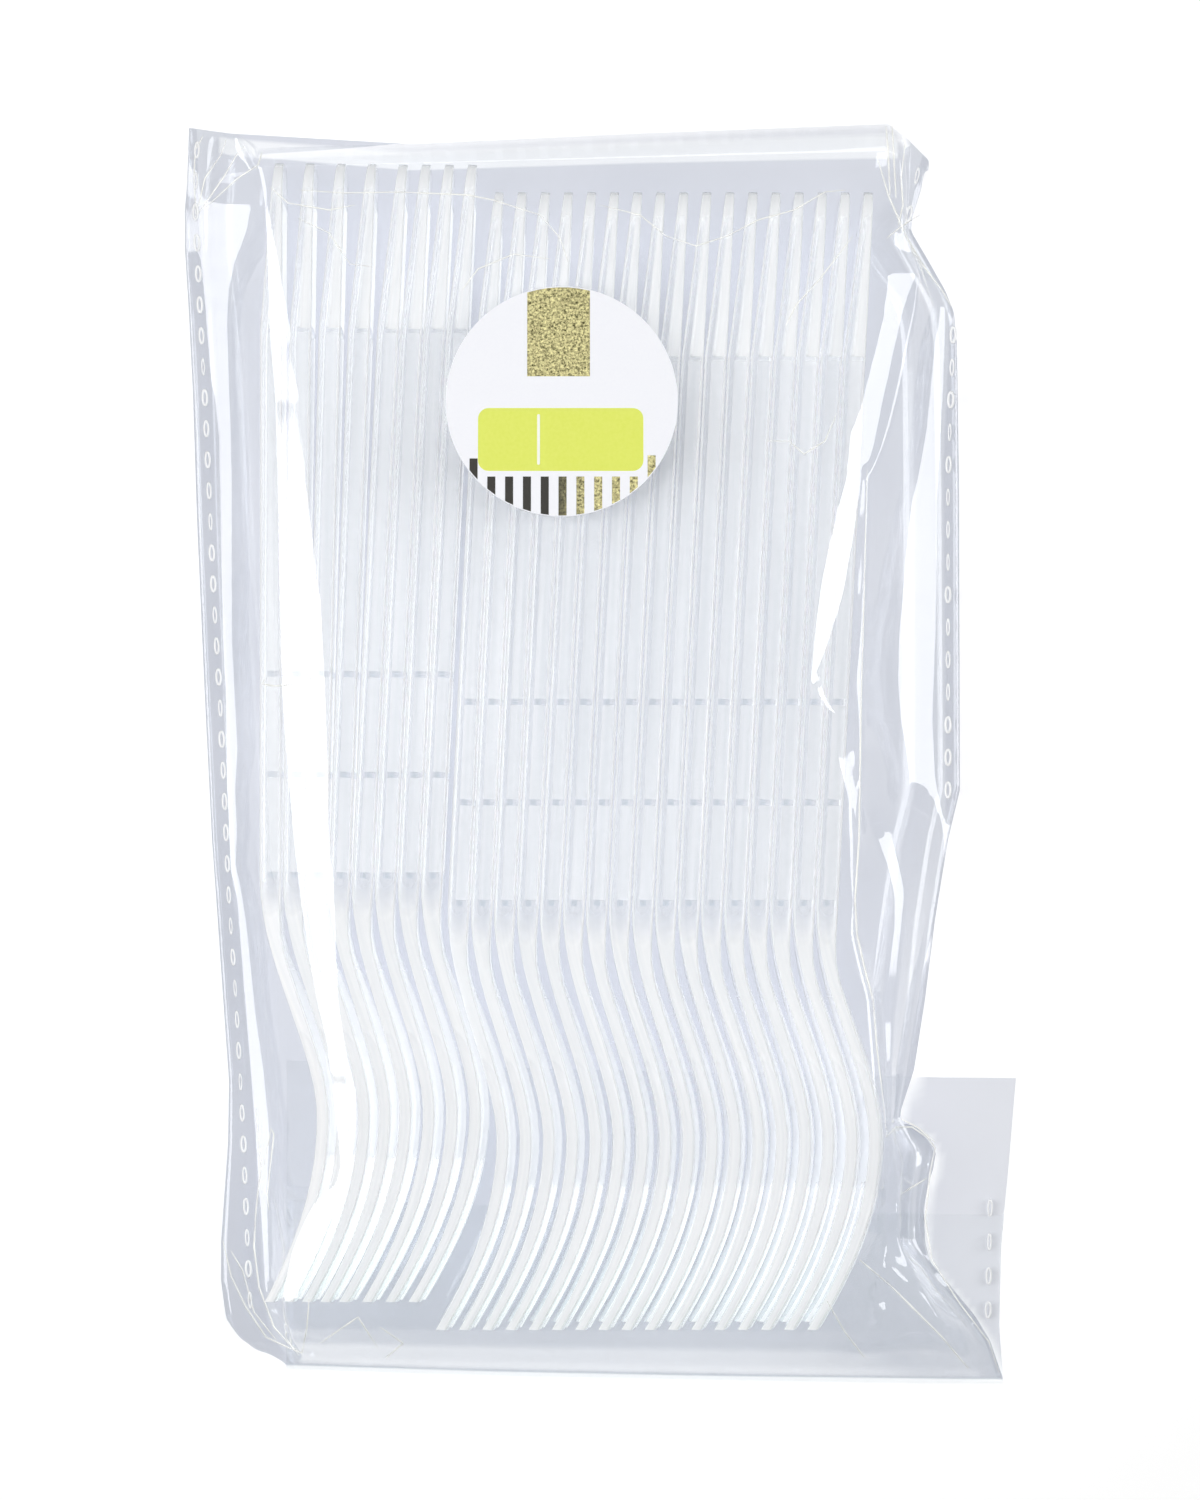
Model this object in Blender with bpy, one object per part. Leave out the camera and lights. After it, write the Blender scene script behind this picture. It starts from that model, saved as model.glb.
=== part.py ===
# Retail pack of clear reusable plastic forks: 25 moulded forks, nested on their edges in one row,
# in a folded and side-welded film bag with a round label on its front.
# The pack lies on its back. X runs across the row, +Y towards the handle ends, +Z up through the front film.

import math

import bmesh
import bpy
from mathutils import Matrix, Vector

MM = 0.001

# Fork, measured along its length from the end of the handle
HANDLE_LENGTH = 115 * MM  # to the last rib, at the neck
HEAD_LENGTH = 67 * MM  # from the neck to the tips
BEVEL_SHARE = 0.235  # of the handle's length: thin end that rises to the full depth
END_ROUND = 5.5 * MM  # length of the rounded end
CHANNEL_START = 6.6 * MM  # first hollow, from the end of the handle
END_NOSE = 0.45  # width of its tip, as a share of the handle
HANDLE_WIDTH = 14 * MM
NECK_WIDTH = 8 * MM
HANDLE_DEPTH = 3.3 * MM  # front face to the edges of the flanges
END_THICKNESS = 1.4 * MM
WEB = 1.1 * MM
FLANGE = 1.2 * MM
FLANGE_DRAFT = 0.35 * MM
RIB = 1.0 * MM
RIB_PITCH_SHARE = 0.14  # of the handle's length
RIB_COUNT = 3

# Fork head: shares are of its length, and depths are measured back from the front face of the handle
HEAD_WIDTH = 26 * MM
TIP_SPREAD = 23 * MM  # across all the tines at their tips
SHOULDER_SHARE = 0.45  # from the neck to the full width
BELLY_SHARE = 0.57  # from the neck to the deepest point
TINE_SHARE = 0.345
PLATE_SHARE = 0.18  # from the depth of the neck to the plate
DISH_SHARE = 0.45
BELLY_DEPTH = 10.8 * MM
TIP_DEPTH = 2.5 * MM
TIP_SLOPE = -0.55
PLATE = 1.9 * MM
TIP_THICKNESS = 1.4 * MM
DISH = 1.1 * MM  # how far the sides of the head stand forward
TINES = 4
SLOT_ROOT_WIDTH = 2.3 * MM
SLOT_TIP_WIDTH = 3.2 * MM
TIP_TAPER = 4 * MM
TIP_TAPER_WIDTH = 0.9 * MM  # taken off each tine along its tapered end
ROOT_STEPS = 4
CUT_PAST = 10 * MM  # how far the slot cutters reach beyond the head

# Row of forks
FORK_COUNT = 25
FIRST_GROUP = 8  # these sit further up the bag than the rest
GROUP_SHIFT = 4.4 * MM
PITCH = 3.68 * MM
GROUP_GAP = 4.8 * MM  # between the two groups, in place of the pitch
ROW_CENTRE_X = -9.9 * MM
LEAN_DEGREES = ((0, 0.0), (4, 2.6), (24, 2.9))  # fork, lean

# Bag
FILM = 0.2 * MM
GAP = 0.3 * MM  # between pieces, and between walls of film, that touch
TOP_ROOM = 6.0 * MM  # from the handle ends to the top fold
BOTTOM_ROOM = 9.4 * MM  # from the tine tips to the bottom fold
SIDE_ROOM = 1.5 * MM  # between the row and the film beside it
FILM_LIFT = 0.9 * MM  # from the row to the front film over it
TOP_FOLD_Z = 4 * MM
TOP_RISE = ((0, 0.0), (0.12, 0.42), (0.45, 0.85))  # share of the top room, share of the full height
BOTTOM_RISE = ((0.8, 0.96), (0.45, 0.72), (0.15, 0.30), (0.0, 0.0))
FLAP_LENGTH = 27 * MM  # folded behind, both walls
LIP_LENGTH = 21 * MM  # single wall beyond it, which sticks to the back
FLAP_CLEAR = 1 * MM  # before the back wall comes down past the flap, and past the lip
FLAP_RAMP = 4 * MM
SIDE_STEP = 1.2 * MM  # least distance from a weld to the side of the row
WELD_HEIGHT = 0.28  # of the height of the front film
SIDE_BULGE = 0.55  # height halfway from a weld to the row, as a share of what is left to rise
SIDE_TOP = 0.4  # the same at the side of the row
BACK_SIDE = 0.4  # of the way from a weld to the row, where the back wall meets the table
CREASE_COLUMNS = 3  # of facets between the two creases

# Edges of the bag: share of its length from the bottom fold, and millimetres out from the end of the row
LEFT_EDGE = (
    (0.0, 3.4), (0.04, 5.4), (0.10, 6.6), (0.18, 5.6), (0.26, 6.3), (0.44, 7.6),
    (0.62, 9.0), (0.78, 10.6), (0.93, 11.8), (1.0, 11.4),
)
RIGHT_EDGE = (
    (0.0, 26.2), (0.03, 24.2), (0.06, 20.2), (0.09, 15.2), (0.13, 13.9), (0.18, 15.8), (0.21, 11.2),
    (0.26, 13.6), (0.38, 16.2), (0.46, 19.4), (0.66, 19.6), (0.85, 19.0), (0.88, 15.6), (0.91, 12.3),
    (0.94, 13.4), (0.97, 15.0), (1.0, 14.6),
)
FLAP_RIGHT = 28.3 * MM  # out from the end of the row, at the end of the lip

# Fins, from a weld to the edge in millimetres: the right one turns on edge at the pinch beside the heads
LEFT_FIN = ((0.0, 3.4), (1.0, 3.4))
RIGHT_FIN = ((0.0, 3.4), (0.18, 3.4), (0.21, 2.4), (0.26, 3.4), (1.0, 3.4))

# Top fold: column, and millimetres below the highest point. The corners of the bag stand out as ears.
TOP_DROP = ((0, 0.8), (1, 1.2), (2, 2.6), (3, 4.2), (8, 0.0), (9, 1.8), (10, 3.6), (11, 4.6))

# Creases of the front film: share of the bag's length, and millimetres in from its side line
LEFT_CREASE = (
    (0.0, 2), (0.08, 3), (0.174, 7), (0.28, 10), (0.41, 12.5), (0.62, 12), (0.78, 8), (0.94, 3), (1.0, 3),
)
RIGHT_CREASE = ((0.0, 4), (0.08, 3), (0.20, 2), (0.38, 2), (0.56, 9), (0.90, 2), (1.0, 2))
ROW_SHARES = (
    0.94, 0.91, 0.88, 0.85, 0.78, 0.66, 0.56, 0.46, 0.38, 0.34, 0.30, 0.26, 0.21, 0.18, 0.13, 0.09, 0.06,
)

# Round label
LABEL_DIAMETER = 37 * MM
LABEL_FROM_TOP = 44.9 * MM  # from the top fold to its centre
LABEL_ASIDE = 3.8 * MM  # right of the middle of the row
LABEL_THICKNESS = 0.15 * MM
LABEL_SIDES = 40

FORK_LENGTH = HANDLE_LENGTH + HEAD_LENGTH
BEVEL_LENGTH = BEVEL_SHARE * HANDLE_LENGTH
SHOULDER_LENGTH = SHOULDER_SHARE * HEAD_LENGTH
TINE_LENGTH = TINE_SHARE * HEAD_LENGTH
BELLY = HANDLE_LENGTH + BELLY_SHARE * HEAD_LENGTH
HEAD_START = HANDLE_LENGTH + SHOULDER_LENGTH
SLOT_ROOT = FORK_LENGTH - TINE_LENGTH
BAG_LENGTH = FORK_LENGTH + GROUP_SHIFT + TOP_ROOM + BOTTOM_ROOM
TOP_FOLD = BAG_LENGTH / 2
BOTTOM_FOLD = -BAG_LENGTH / 2
ROW_WIDTH = (FORK_COUNT - 2) * PITCH + GROUP_GAP
ROW_LEFT = ROW_CENTRE_X - ROW_WIDTH / 2
ROW_RIGHT = ROW_LEFT + ROW_WIDTH + HANDLE_DEPTH
NECK_Y = TOP_FOLD - TOP_ROOM - HANDLE_LENGTH

# Film layers: the lip lies on the table, then the flap's second wall, then the back of the bag
LAYER = FILM + GAP
SLIT = 2 * FILM + GAP  # outside of one wall to the outside of the other, where they lie together
PIVOT_Z = SLIT + GAP / 2
PIVOT_Y = BOTTOM_FOLD + PIVOT_Z
FLOOR = LAYER  # under the handle ends
HEAD_FLOOR = 2 * LAYER  # under the heads, which lie over the lip
FORK_TILT = math.asin((HEAD_FLOOR + HEAD_WIDTH / 2 - FLOOR - HANDLE_WIDTH / 2) / (HEAD_START - END_ROUND))


def smooth(t):
    t = min(max(t, 0.0), 1.0)
    return t * t * (3 - 2 * t)


def along(points, t, item=1):
    """Value at t on the straight lines through the points."""
    for low, high in zip(points, points[1:]):
        if t <= high[0]:
            share = max(t - low[0], 0.0) / (high[0] - low[0])
            return low[item] + (high[item] - low[item]) * share
    return points[-1][item]


def hermite(start, end, t):
    """Curve from start to end, each (position, value, slope)."""
    h = end[0] - start[0]
    u = min(max((t - start[0]) / h, 0.0), 1.0)
    return (
        (2 * u**3 - 3 * u**2 + 1) * start[1]
        + (u**3 - 2 * u**2 + u) * h * start[2]
        + (3 * u**2 - 2 * u**3) * end[1]
        + (u**3 - u**2) * h * end[2]
    )


def front_depth(s):
    """Depth of the fork's front face, at s along it."""
    if s < BEVEL_LENGTH:
        return (HANDLE_DEPTH - END_THICKNESS) * (1 - s / BEVEL_LENGTH)
    belly = (BELLY, BELLY_DEPTH, 0.0)
    if s < BELLY:
        return hermite((HANDLE_LENGTH, 0.0, 0.0), belly, s)
    return hermite(belly, (FORK_LENGTH, TIP_DEPTH, TIP_SLOPE), s)


def thickness(s):
    """Depth from the front face to the back one, at s along the fork."""
    if s <= HANDLE_LENGTH:
        return HANDLE_DEPTH - front_depth(s)
    step = 0.5 * MM
    slope = (front_depth(s + step) - front_depth(s - step)) / (2 * step) if s < FORK_LENGTH else TIP_SLOPE
    plate = PLATE + (TIP_THICKNESS - PLATE) * smooth((s - SLOT_ROOT) / TINE_LENGTH)
    blend = smooth((s - HANDLE_LENGTH) / (PLATE_SHARE * HEAD_LENGTH))
    return (HANDLE_DEPTH + (plate - HANDLE_DEPTH) * blend) * math.hypot(1, slope)


def half_width(s):
    """Half the fork's width, at s along it."""
    if s < END_ROUND:
        round_part = 1 - s / END_ROUND
        return HANDLE_WIDTH / 2 * math.sqrt(1 - (1 - END_NOSE**2) * round_part**2)
    if s < HANDLE_LENGTH:
        share = (s - END_ROUND) / (HANDLE_LENGTH - END_ROUND)
        return (HANDLE_WIDTH + (NECK_WIDTH - HANDLE_WIDTH) * share) / 2
    if s < HEAD_START:
        return (NECK_WIDTH + (HEAD_WIDTH - NECK_WIDTH) * smooth((s - HANDLE_LENGTH) / SHOULDER_LENGTH)) / 2
    narrow = HEAD_WIDTH + (TIP_SPREAD - HEAD_WIDTH) * smooth((s - HEAD_START) / (FORK_LENGTH - HEAD_START))
    taper = max(s - FORK_LENGTH + TIP_TAPER, 0.0) / TIP_TAPER
    return (narrow - TIP_TAPER_WIDTH * taper) / 2


def dish_at(s):
    return DISH * smooth((s - HANDLE_LENGTH) / (DISH_SHARE * HEAD_LENGTH))


def fork_section(s):
    """Six corners of the fork's solid section, at s along it: depth, length and width."""
    front, wide, dish = front_depth(s), half_width(s), dish_at(s)
    back = front + thickness(s)
    depths = (front - dish, front, front - dish, back - dish, back, back - dish)
    widths = (-wide, 0, wide, wide, 0, -wide)
    return [Vector((d, -s, w)) for d, w in zip(depths, widths)]


def fork_stations():
    ends = [END_ROUND * k / 3 for k in range(4)]
    neck = [HANDLE_LENGTH + (BELLY - HANDLE_LENGTH) * k / 7 for k in range(8)]
    tines = [SLOT_ROOT, SLOT_ROOT + TINE_LENGTH / 3, SLOT_ROOT + TINE_LENGTH * 0.6]
    return ends + [BEVEL_LENGTH] + neck + tines + [FORK_LENGTH - TIP_TAPER, FORK_LENGTH]


def loft(name, loops, close_ends=True):
    """Mesh through closed loops of as many corners each."""
    shape = bmesh.new()
    rings = [[shape.verts.new(point) for point in loop] for loop in loops]
    for ring, following in zip(rings, rings[1:]):
        for k in range(len(ring)):
            shape.faces.new((ring[k - 1], ring[k], following[k], following[k - 1]))
    if close_ends:
        shape.faces.new(rings[0])
        shape.faces.new(list(reversed(rings[-1])))
    bmesh.ops.recalc_face_normals(shape, faces=shape.faces)
    mesh = bpy.data.meshes.new(name)
    shape.to_mesh(mesh)
    shape.free()
    return mesh


def channel_cells():
    """Start and end of each hollow between the cross ribs of the handle."""
    ribs = [HANDLE_LENGTH * (1 - k * RIB_PITCH_SHARE) - RIB / 2 for k in range(RIB_COUNT)]
    ribs = [BEVEL_LENGTH] + ribs[::-1]
    starts = [CHANNEL_START] + [rib + RIB / 2 for rib in ribs[:-1]]
    return [(start, rib - RIB / 2) for start, rib in zip(starts, ribs)]


def channel_cutter(start, end):
    """Hollow that is wider at the open back than at the web."""
    above = HANDLE_DEPTH + 1 * MM
    loops = []
    for s in (start, end):
        floor = front_depth(s) + WEB
        bottom = half_width(s) - FLANGE - FLANGE_DRAFT
        top = bottom + FLANGE_DRAFT * (above - floor) / (HANDLE_DEPTH - WEB)
        loops.append([(floor, -s, -bottom), (above, -s, -top), (above, -s, top), (floor, -s, bottom)])
    return loft("channel", loops)


def slot_cutter(side):
    """Gap between two tines, with a round root. Side counts gaps from the middle."""
    radius = SLOT_ROOT_WIDTH / 2
    taper_start = FORK_LENGTH - TIP_TAPER
    beyond = FORK_LENGTH + 1 * MM
    flare = TIP_TAPER_WIDTH * (beyond - taper_start) / TIP_TAPER / 2

    def centre(s):
        return side * 2 * half_width(min(s, taper_start)) / TINES

    outline = []
    for k in range(ROOT_STEPS + 1):
        turn = math.pi * k / ROOT_STEPS
        s = SLOT_ROOT + radius * (1 - math.sin(turn))
        outline.append((s, centre(SLOT_ROOT) - radius * math.cos(turn)))
    for s, wide in ((taper_start, SLOT_TIP_WIDTH / 2), (beyond, SLOT_TIP_WIDTH / 2 + flare)):
        outline.insert(0, (s, centre(s) - wide))
        outline.append((s, centre(s) + wide))
    loops = [[(depth, -s, w) for s, w in outline] for depth in (-CUT_PAST, BELLY_DEPTH + CUT_PAST)]
    return loft("slot", loops)


def joined(name, meshes):
    """One mesh of several that don't touch."""
    shape = bmesh.new()
    for mesh in meshes:
        shape.from_mesh(mesh)
        bpy.data.meshes.remove(mesh)
    whole = bpy.data.meshes.new(name)
    shape.to_mesh(whole)
    shape.free()
    return whole


def add_object(name, mesh, material=None):
    made = bpy.data.objects.new(name, mesh)
    bpy.context.scene.collection.objects.link(made)
    if material:
        mesh.materials.clear()
        mesh.materials.append(material)
    return made


def fork_mesh():
    """Fork blank with its channels and slots cut out."""
    blank = add_object("fork_blank", loft("fork_blank", [fork_section(s) for s in fork_stations()]))
    tools = [channel_cutter(start, end) for start, end in channel_cells()]
    tools += [slot_cutter(k - TINES / 2) for k in range(1, TINES)]
    cutter = add_object("fork_cutter", joined("fork_cutter", tools))
    cut = blank.modifiers.new("hollows_and_slots", "BOOLEAN")
    cut.operation = "DIFFERENCE"
    cut.object = cutter
    bpy.context.view_layer.update()
    graph = bpy.context.evaluated_depsgraph_get()
    mesh = bpy.data.meshes.new_from_object(blank.evaluated_get(graph))
    mesh.name = "fork"
    for helper in (blank, cutter):
        bpy.data.meshes.remove(helper.data)
    mesh.set_sharp_from_angle(angle=math.radians(35))
    return mesh


def lean(index):
    return math.radians(along(LEAN_DEGREES, index))


def fork_matrix(index):
    """Place of a fork: its neck on the row, leaning in the row and tilted onto its two widest edges."""
    later = index >= FIRST_GROUP
    x = ROW_LEFT + index * PITCH + (GROUP_GAP - PITCH if later else 0)
    y = NECK_Y - (GROUP_SHIFT if later else 0)
    z = FLOOR + HANDLE_WIDTH / 2 + (HANDLE_LENGTH - END_ROUND) * math.sin(FORK_TILT)
    turn = Matrix.Rotation(-lean(index), 4, "Z") @ Matrix.Rotation(-FORK_TILT, 4, "X")
    return Matrix.Translation((x, y, z)) @ turn @ Matrix.Translation((0, HANDLE_LENGTH, 0))


def film_slope():
    """Rise of the taut front film from the handle ends to the heads."""
    rise = HEAD_FLOOR + HEAD_WIDTH - FLOOR - HANDLE_WIDTH
    return rise / (HEAD_START - END_ROUND)


def row_top(y):
    """Height of the taut front film over the row, at y."""
    run = min(max(TOP_FOLD - TOP_ROOM - END_ROUND - y, 0), HEAD_START - END_ROUND)
    return FLOOR + HANDLE_WIDTH + run * film_slope() + GAP + FILM + FILM_LIFT


def fork_at(y, index):
    """Where a fork of the row is at y: its front, its back and its upper edge."""
    neck = fork_matrix(index) @ Vector((0, -HANDLE_LENGTH, 0))
    s = min(max(HANDLE_LENGTH - (y - neck.y) / math.cos(lean(index)), 0), FORK_LENGTH)
    shift = neck.x + (y - neck.y) * math.tan(lean(index))
    front = shift + front_depth(s) - dish_at(s)
    back = shift + front_depth(s) + thickness(s)
    top = neck.z + (s - HANDLE_LENGTH) * math.sin(FORK_TILT) + half_width(s)
    return front, back, top


def floor_height(y):
    """Underside of the bag's back wall, which lies over the flap, then the lip, then on the table."""
    flap_end = BOTTOM_FOLD + FLAP_LENGTH + FLAP_CLEAR
    lip_end = flap_end + LIP_LENGTH
    over_flap = LAYER * (1 - min(max((y - flap_end) / FLAP_RAMP, 0), 1))
    return over_flap + LAYER * (1 - min(max((y - lip_end) / FLAP_RAMP, 0), 1))


def bag_row(y, share, rise, fold_z, corner=0.0):
    """Front and back points across the bag. Rise is 0 at a fold, 1 over the row; corner is 1 at the top."""
    first = fork_at(y, 0)
    last = fork_at(y, FORK_COUNT - 1)
    left = ROW_LEFT - along(LEFT_EDGE, share) * MM
    right = ROW_RIGHT + along(RIGHT_EDGE, share) * MM
    weld_left = left + along(LEFT_FIN, share) * MM
    weld_right = right - along(RIGHT_FIN, share) * MM
    side_left = max(first[0] - SIDE_ROOM, weld_left + SIDE_STEP)
    side_right = min(last[1] + SIDE_ROOM, weld_right - SIDE_STEP)
    crease_left = side_left + along(LEFT_CREASE, share) * MM
    crease_right = side_right - along(RIGHT_CREASE, share) * MM
    creased = crease_right - crease_left
    middle = [crease_left + creased * k / CREASE_COLUMNS for k in range(1, CREASE_COLUMNS)]
    top = row_top(y)
    flat = WELD_HEIGHT * top
    beside = flat + (top - flat) * SIDE_BULGE
    edge_top = [fork[2] + (top - fork[2]) * SIDE_TOP for fork in (first, last)]
    xs = [left, weld_left, (weld_left + side_left) / 2, side_left, crease_left, *middle]
    xs += [crease_right, side_right, (side_right + weld_right) / 2, weld_right, right]
    weld = fold_z + (flat - fold_z) * rise
    zs = [weld + SLIT / 2] * 2 + [beside, edge_top[0], top] + [top] * len(middle)
    zs += [top, edge_top[1], beside] + [weld + SLIT / 2] * 2
    back_xs = list(xs)
    back_xs[2] = weld_left + (side_left - weld_left) * BACK_SIDE
    back_xs[-3] = weld_right + (side_right - weld_right) * BACK_SIDE
    back_zs = [weld - SLIT / 2] * 2 + [floor_height(y)] * (len(xs) - 4) + [weld - SLIT / 2] * 2
    ys = [y - corner * along(TOP_DROP, k) * MM for k in range(len(xs))]
    front_fold, back_fold = fold_z + SLIT / 2, fold_z - SLIT / 2
    front = [(x, row_y, front_fold + (z - front_fold) * rise) for x, row_y, z in zip(xs, ys, zs)]
    back = [(x, row_y, back_fold + (z - back_fold) * rise) for x, row_y, z in zip(back_xs, ys, back_zs)]
    return front, back


def bag_rows():
    """Rows across both walls, from the top fold down to the bottom one and round it to the end of the flap."""
    rows = []
    for part, rise in TOP_RISE:
        y = TOP_FOLD - part * TOP_ROOM
        rows.append(bag_row(y, 1 - part * TOP_ROOM / BAG_LENGTH, rise, TOP_FOLD_Z, 1 - part))
    for share in ROW_SHARES:
        rows.append(bag_row(BOTTOM_FOLD + share * BAG_LENGTH, share, 1.0, TOP_FOLD_Z))
    for part, rise in BOTTOM_RISE:
        y = PIVOT_Y + part * BOTTOM_ROOM
        rows.append(bag_row(y, part * BOTTOM_ROOM / BAG_LENGTH, rise, PIVOT_Z + GAP / 2 + SLIT / 2))
    front, back = rows[-1]
    outside, inside = PIVOT_Z, GAP / 2
    for turn in (45, 90, 135, 180):
        dy, dz = -math.sin(math.radians(turn)), math.cos(math.radians(turn))
        outer = [(p[0], PIVOT_Y + outside * dy, PIVOT_Z + outside * dz) for p in front]
        inner = [(p[0], PIVOT_Y + inside * dy, PIVOT_Z + inside * dz) for p in back]
        rows.append((outer, inner))
    return rows


def flap_row(row, y):
    """The last row of the fold, moved along the flap, whose right edge spreads."""
    widest = row[0][-1][0]
    share = (y - BOTTOM_FOLD) / (FLAP_LENGTH + LIP_LENGTH)
    spread = 1 + (ROW_RIGHT + FLAP_RIGHT - widest) * share / (widest - ROW_LEFT)
    return [[(ROW_LEFT + (p[0] - ROW_LEFT) * spread, y, p[2]) for p in wall] for wall in row]


def bag_mesh():
    """Outside of the film as one sheet: two walls, closed at the top fold and along both sides."""
    rows = bag_rows()
    rows.append(flap_row(rows[-1], BOTTOM_FOLD + FLAP_LENGTH))
    lip = flap_row(rows[-1], BOTTOM_FOLD + FLAP_LENGTH + LIP_LENGTH)[0]
    shape = bmesh.new()
    fronts = [[shape.verts.new(p) for p in front] for front, back in rows]
    backs = [[shape.verts.new(p) for p in back] for front, back in rows]
    fronts.append([shape.verts.new(p) for p in lip])
    sheets = [(a, b) for a, b in zip(fronts, fronts[1:])] + [(b, a) for a, b in zip(backs, backs[1:])]
    sheets.append((backs[0], fronts[0]))
    for one, other in sheets:
        for k in range(len(one) - 1):
            shape.faces.new((one[k], other[k], other[k + 1], one[k + 1]))
    for edge in (0, -1):
        line = [row[edge] for row in fronts[:-1]]
        under = [row[edge] for row in backs]
        for k in range(len(line) - 1):
            corners = (line[k], under[k], under[k + 1], line[k + 1])
            shape.faces.new(corners if edge == 0 else corners[::-1])
    bmesh.ops.dissolve_limit(
        shape, angle_limit=math.radians(0.05), verts=shape.verts, edges=shape.edges,
        use_dissolve_boundaries=False,
    )
    bmesh.ops.triangulate(shape, faces=shape.faces)
    mesh = bpy.data.meshes.new("film_bag")
    shape.to_mesh(mesh)
    shape.free()
    return mesh


def add_bag(material):
    bag = add_object("film_bag", bag_mesh(), material)
    wall = bag.modifiers.new("wall", "SOLIDIFY")
    wall.thickness = FILM
    wall.offset = -1
    return bag


def add_round_label(material):
    """Flat disc that lies on the taut front film and follows its slope."""
    shape = bmesh.new()
    bmesh.ops.create_cone(
        shape, cap_ends=True, segments=LABEL_SIDES, radius1=LABEL_DIAMETER / 2, radius2=LABEL_DIAMETER / 2,
        depth=LABEL_THICKNESS,
    )
    mesh = bpy.data.meshes.new("round_label")
    shape.to_mesh(mesh)
    shape.free()
    label = add_object("round_label", mesh, material)
    x, y = ROW_CENTRE_X + LABEL_ASIDE, TOP_FOLD - LABEL_FROM_TOP
    label.location = (x, y, row_top(y) + GAP + LABEL_THICKNESS / 2)
    label.rotation_euler = (-math.atan(film_slope()), 0, 0)
    return label


def material(name, colour, roughness, alpha=1.0, ior=1.5):
    made = bpy.data.materials.new(name)
    made.use_nodes = True
    shader = made.node_tree.nodes["Principled BSDF"]
    shader.inputs["Base Color"].default_value = (*colour, 1)
    shader.inputs["Roughness"].default_value = roughness
    shader.inputs["Metallic"].default_value = 0
    shader.inputs["Alpha"].default_value = alpha
    shader.inputs["IOR"].default_value = ior
    return made


def main():
    for old in list(bpy.data.objects):
        bpy.data.objects.remove(old)
    clear_plastic = material("clear_polystyrene", (0.86, 0.90, 0.90), 0.08, alpha=0.45, ior=1.59)
    film = material("clear_film", (0.80, 0.84, 0.89), 0.1, alpha=0.3, ior=1.49)
    paper = material("white_label_paper", (0.91, 0.92, 0.95), 0.45)
    pack = add_object("cutlery_pack", None)
    pieces = [add_bag(film), add_round_label(paper)]
    shared = fork_mesh()
    for index in range(FORK_COUNT):
        fork = add_object(f"fork_{index + 1:02d}", shared, clear_plastic)
        fork.matrix_world = fork_matrix(index)
        pieces.append(fork)
    for piece in pieces:
        piece.parent = pack


main()
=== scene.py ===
import math

import bmesh
import bpy
import numpy as np
from mathutils import Matrix, Vector, noise


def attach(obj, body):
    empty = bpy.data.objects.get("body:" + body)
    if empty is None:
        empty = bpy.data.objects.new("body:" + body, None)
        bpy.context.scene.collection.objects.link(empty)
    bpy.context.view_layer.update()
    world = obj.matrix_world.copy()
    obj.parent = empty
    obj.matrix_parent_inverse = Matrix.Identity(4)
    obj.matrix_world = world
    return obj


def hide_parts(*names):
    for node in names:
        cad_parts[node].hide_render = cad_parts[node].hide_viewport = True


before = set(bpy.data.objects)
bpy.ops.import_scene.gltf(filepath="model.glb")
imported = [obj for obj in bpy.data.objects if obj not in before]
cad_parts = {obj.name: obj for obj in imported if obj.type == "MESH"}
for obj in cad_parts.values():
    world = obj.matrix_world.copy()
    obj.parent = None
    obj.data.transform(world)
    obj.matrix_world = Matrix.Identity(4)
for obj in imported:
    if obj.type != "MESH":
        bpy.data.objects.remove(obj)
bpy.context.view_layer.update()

# A bag of clear plastic forks, seen from straight above. Sizes are in millimetres unless noted, and lines
# and columns of the photograph are in its pixels.
mm = 0.001


def smooth(t):
    t = min(max(t, 0.0), 1.0)
    return t * t * (3 - 2 * t)


def fade(value, limits):
    # 0 before the first limit, 1 past the second, smooth between them.
    return smooth((value - limits[0]) / (limits[1] - limits[0]))


def along(points, t):
    # Value at t on the straight lines through (position, value) points.
    for low, high in zip(points, points[1:]):
        if t <= high[0]:
            return low[1] + (high[1] - low[1]) * max(t - low[0], 0.0) / (high[0] - low[0])
    return points[-1][1]


def linear(hexColour, alpha=1.0):
    # sRGB hex to the linear colour that a shader takes.
    channels = [int(hexColour[k:k + 2], 16) / 255 for k in (0, 2, 4)]
    return [c / 12.92 if c <= 0.04045 else ((c + 0.055) / 1.055) ** 2.4 for c in channels] + [alpha]


def addNode(tree, kind, settings=None, inputs=None):
    # Adds a node; an input is a value, a socket, or a node, which gives its first output in use.
    node = tree.nodes.new(kind)
    for name, value in (settings or {}).items():
        setattr(node, name, value)
    for name, value in (inputs or {}).items():
        if isinstance(value, bpy.types.Node):
            value = next(socket for socket in value.outputs if socket.enabled)
        if isinstance(value, bpy.types.NodeSocket):
            tree.links.new(value, node.inputs[name])
        else:
            node.inputs[name].default_value = value
    return node


def newMaterial(name):
    made = bpy.data.materials.new(name)
    made.use_nodes = True
    made.node_tree.nodes.clear()
    return made, made.node_tree


def finishMaterial(tree, shader):
    addNode(tree, "ShaderNodeOutputMaterial", inputs={"Surface": shader})


def sheetGloss(tree, least):
    # Share of light that a thin sheet mirrors, the same from both of its sides; least is straight on.
    facing = addNode(tree, "ShaderNodeLayerWeight", inputs={"Blend": 0.5}).outputs["Facing"]
    steep = addNode(tree, "ShaderNodeMath", {"operation": "POWER"}, {0: facing, 1: 5.0})
    return addNode(tree, "ShaderNodeMath", {"operation": "MULTIPLY_ADD"}, {0: steep, 1: 1 - least, 2: least})


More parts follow.
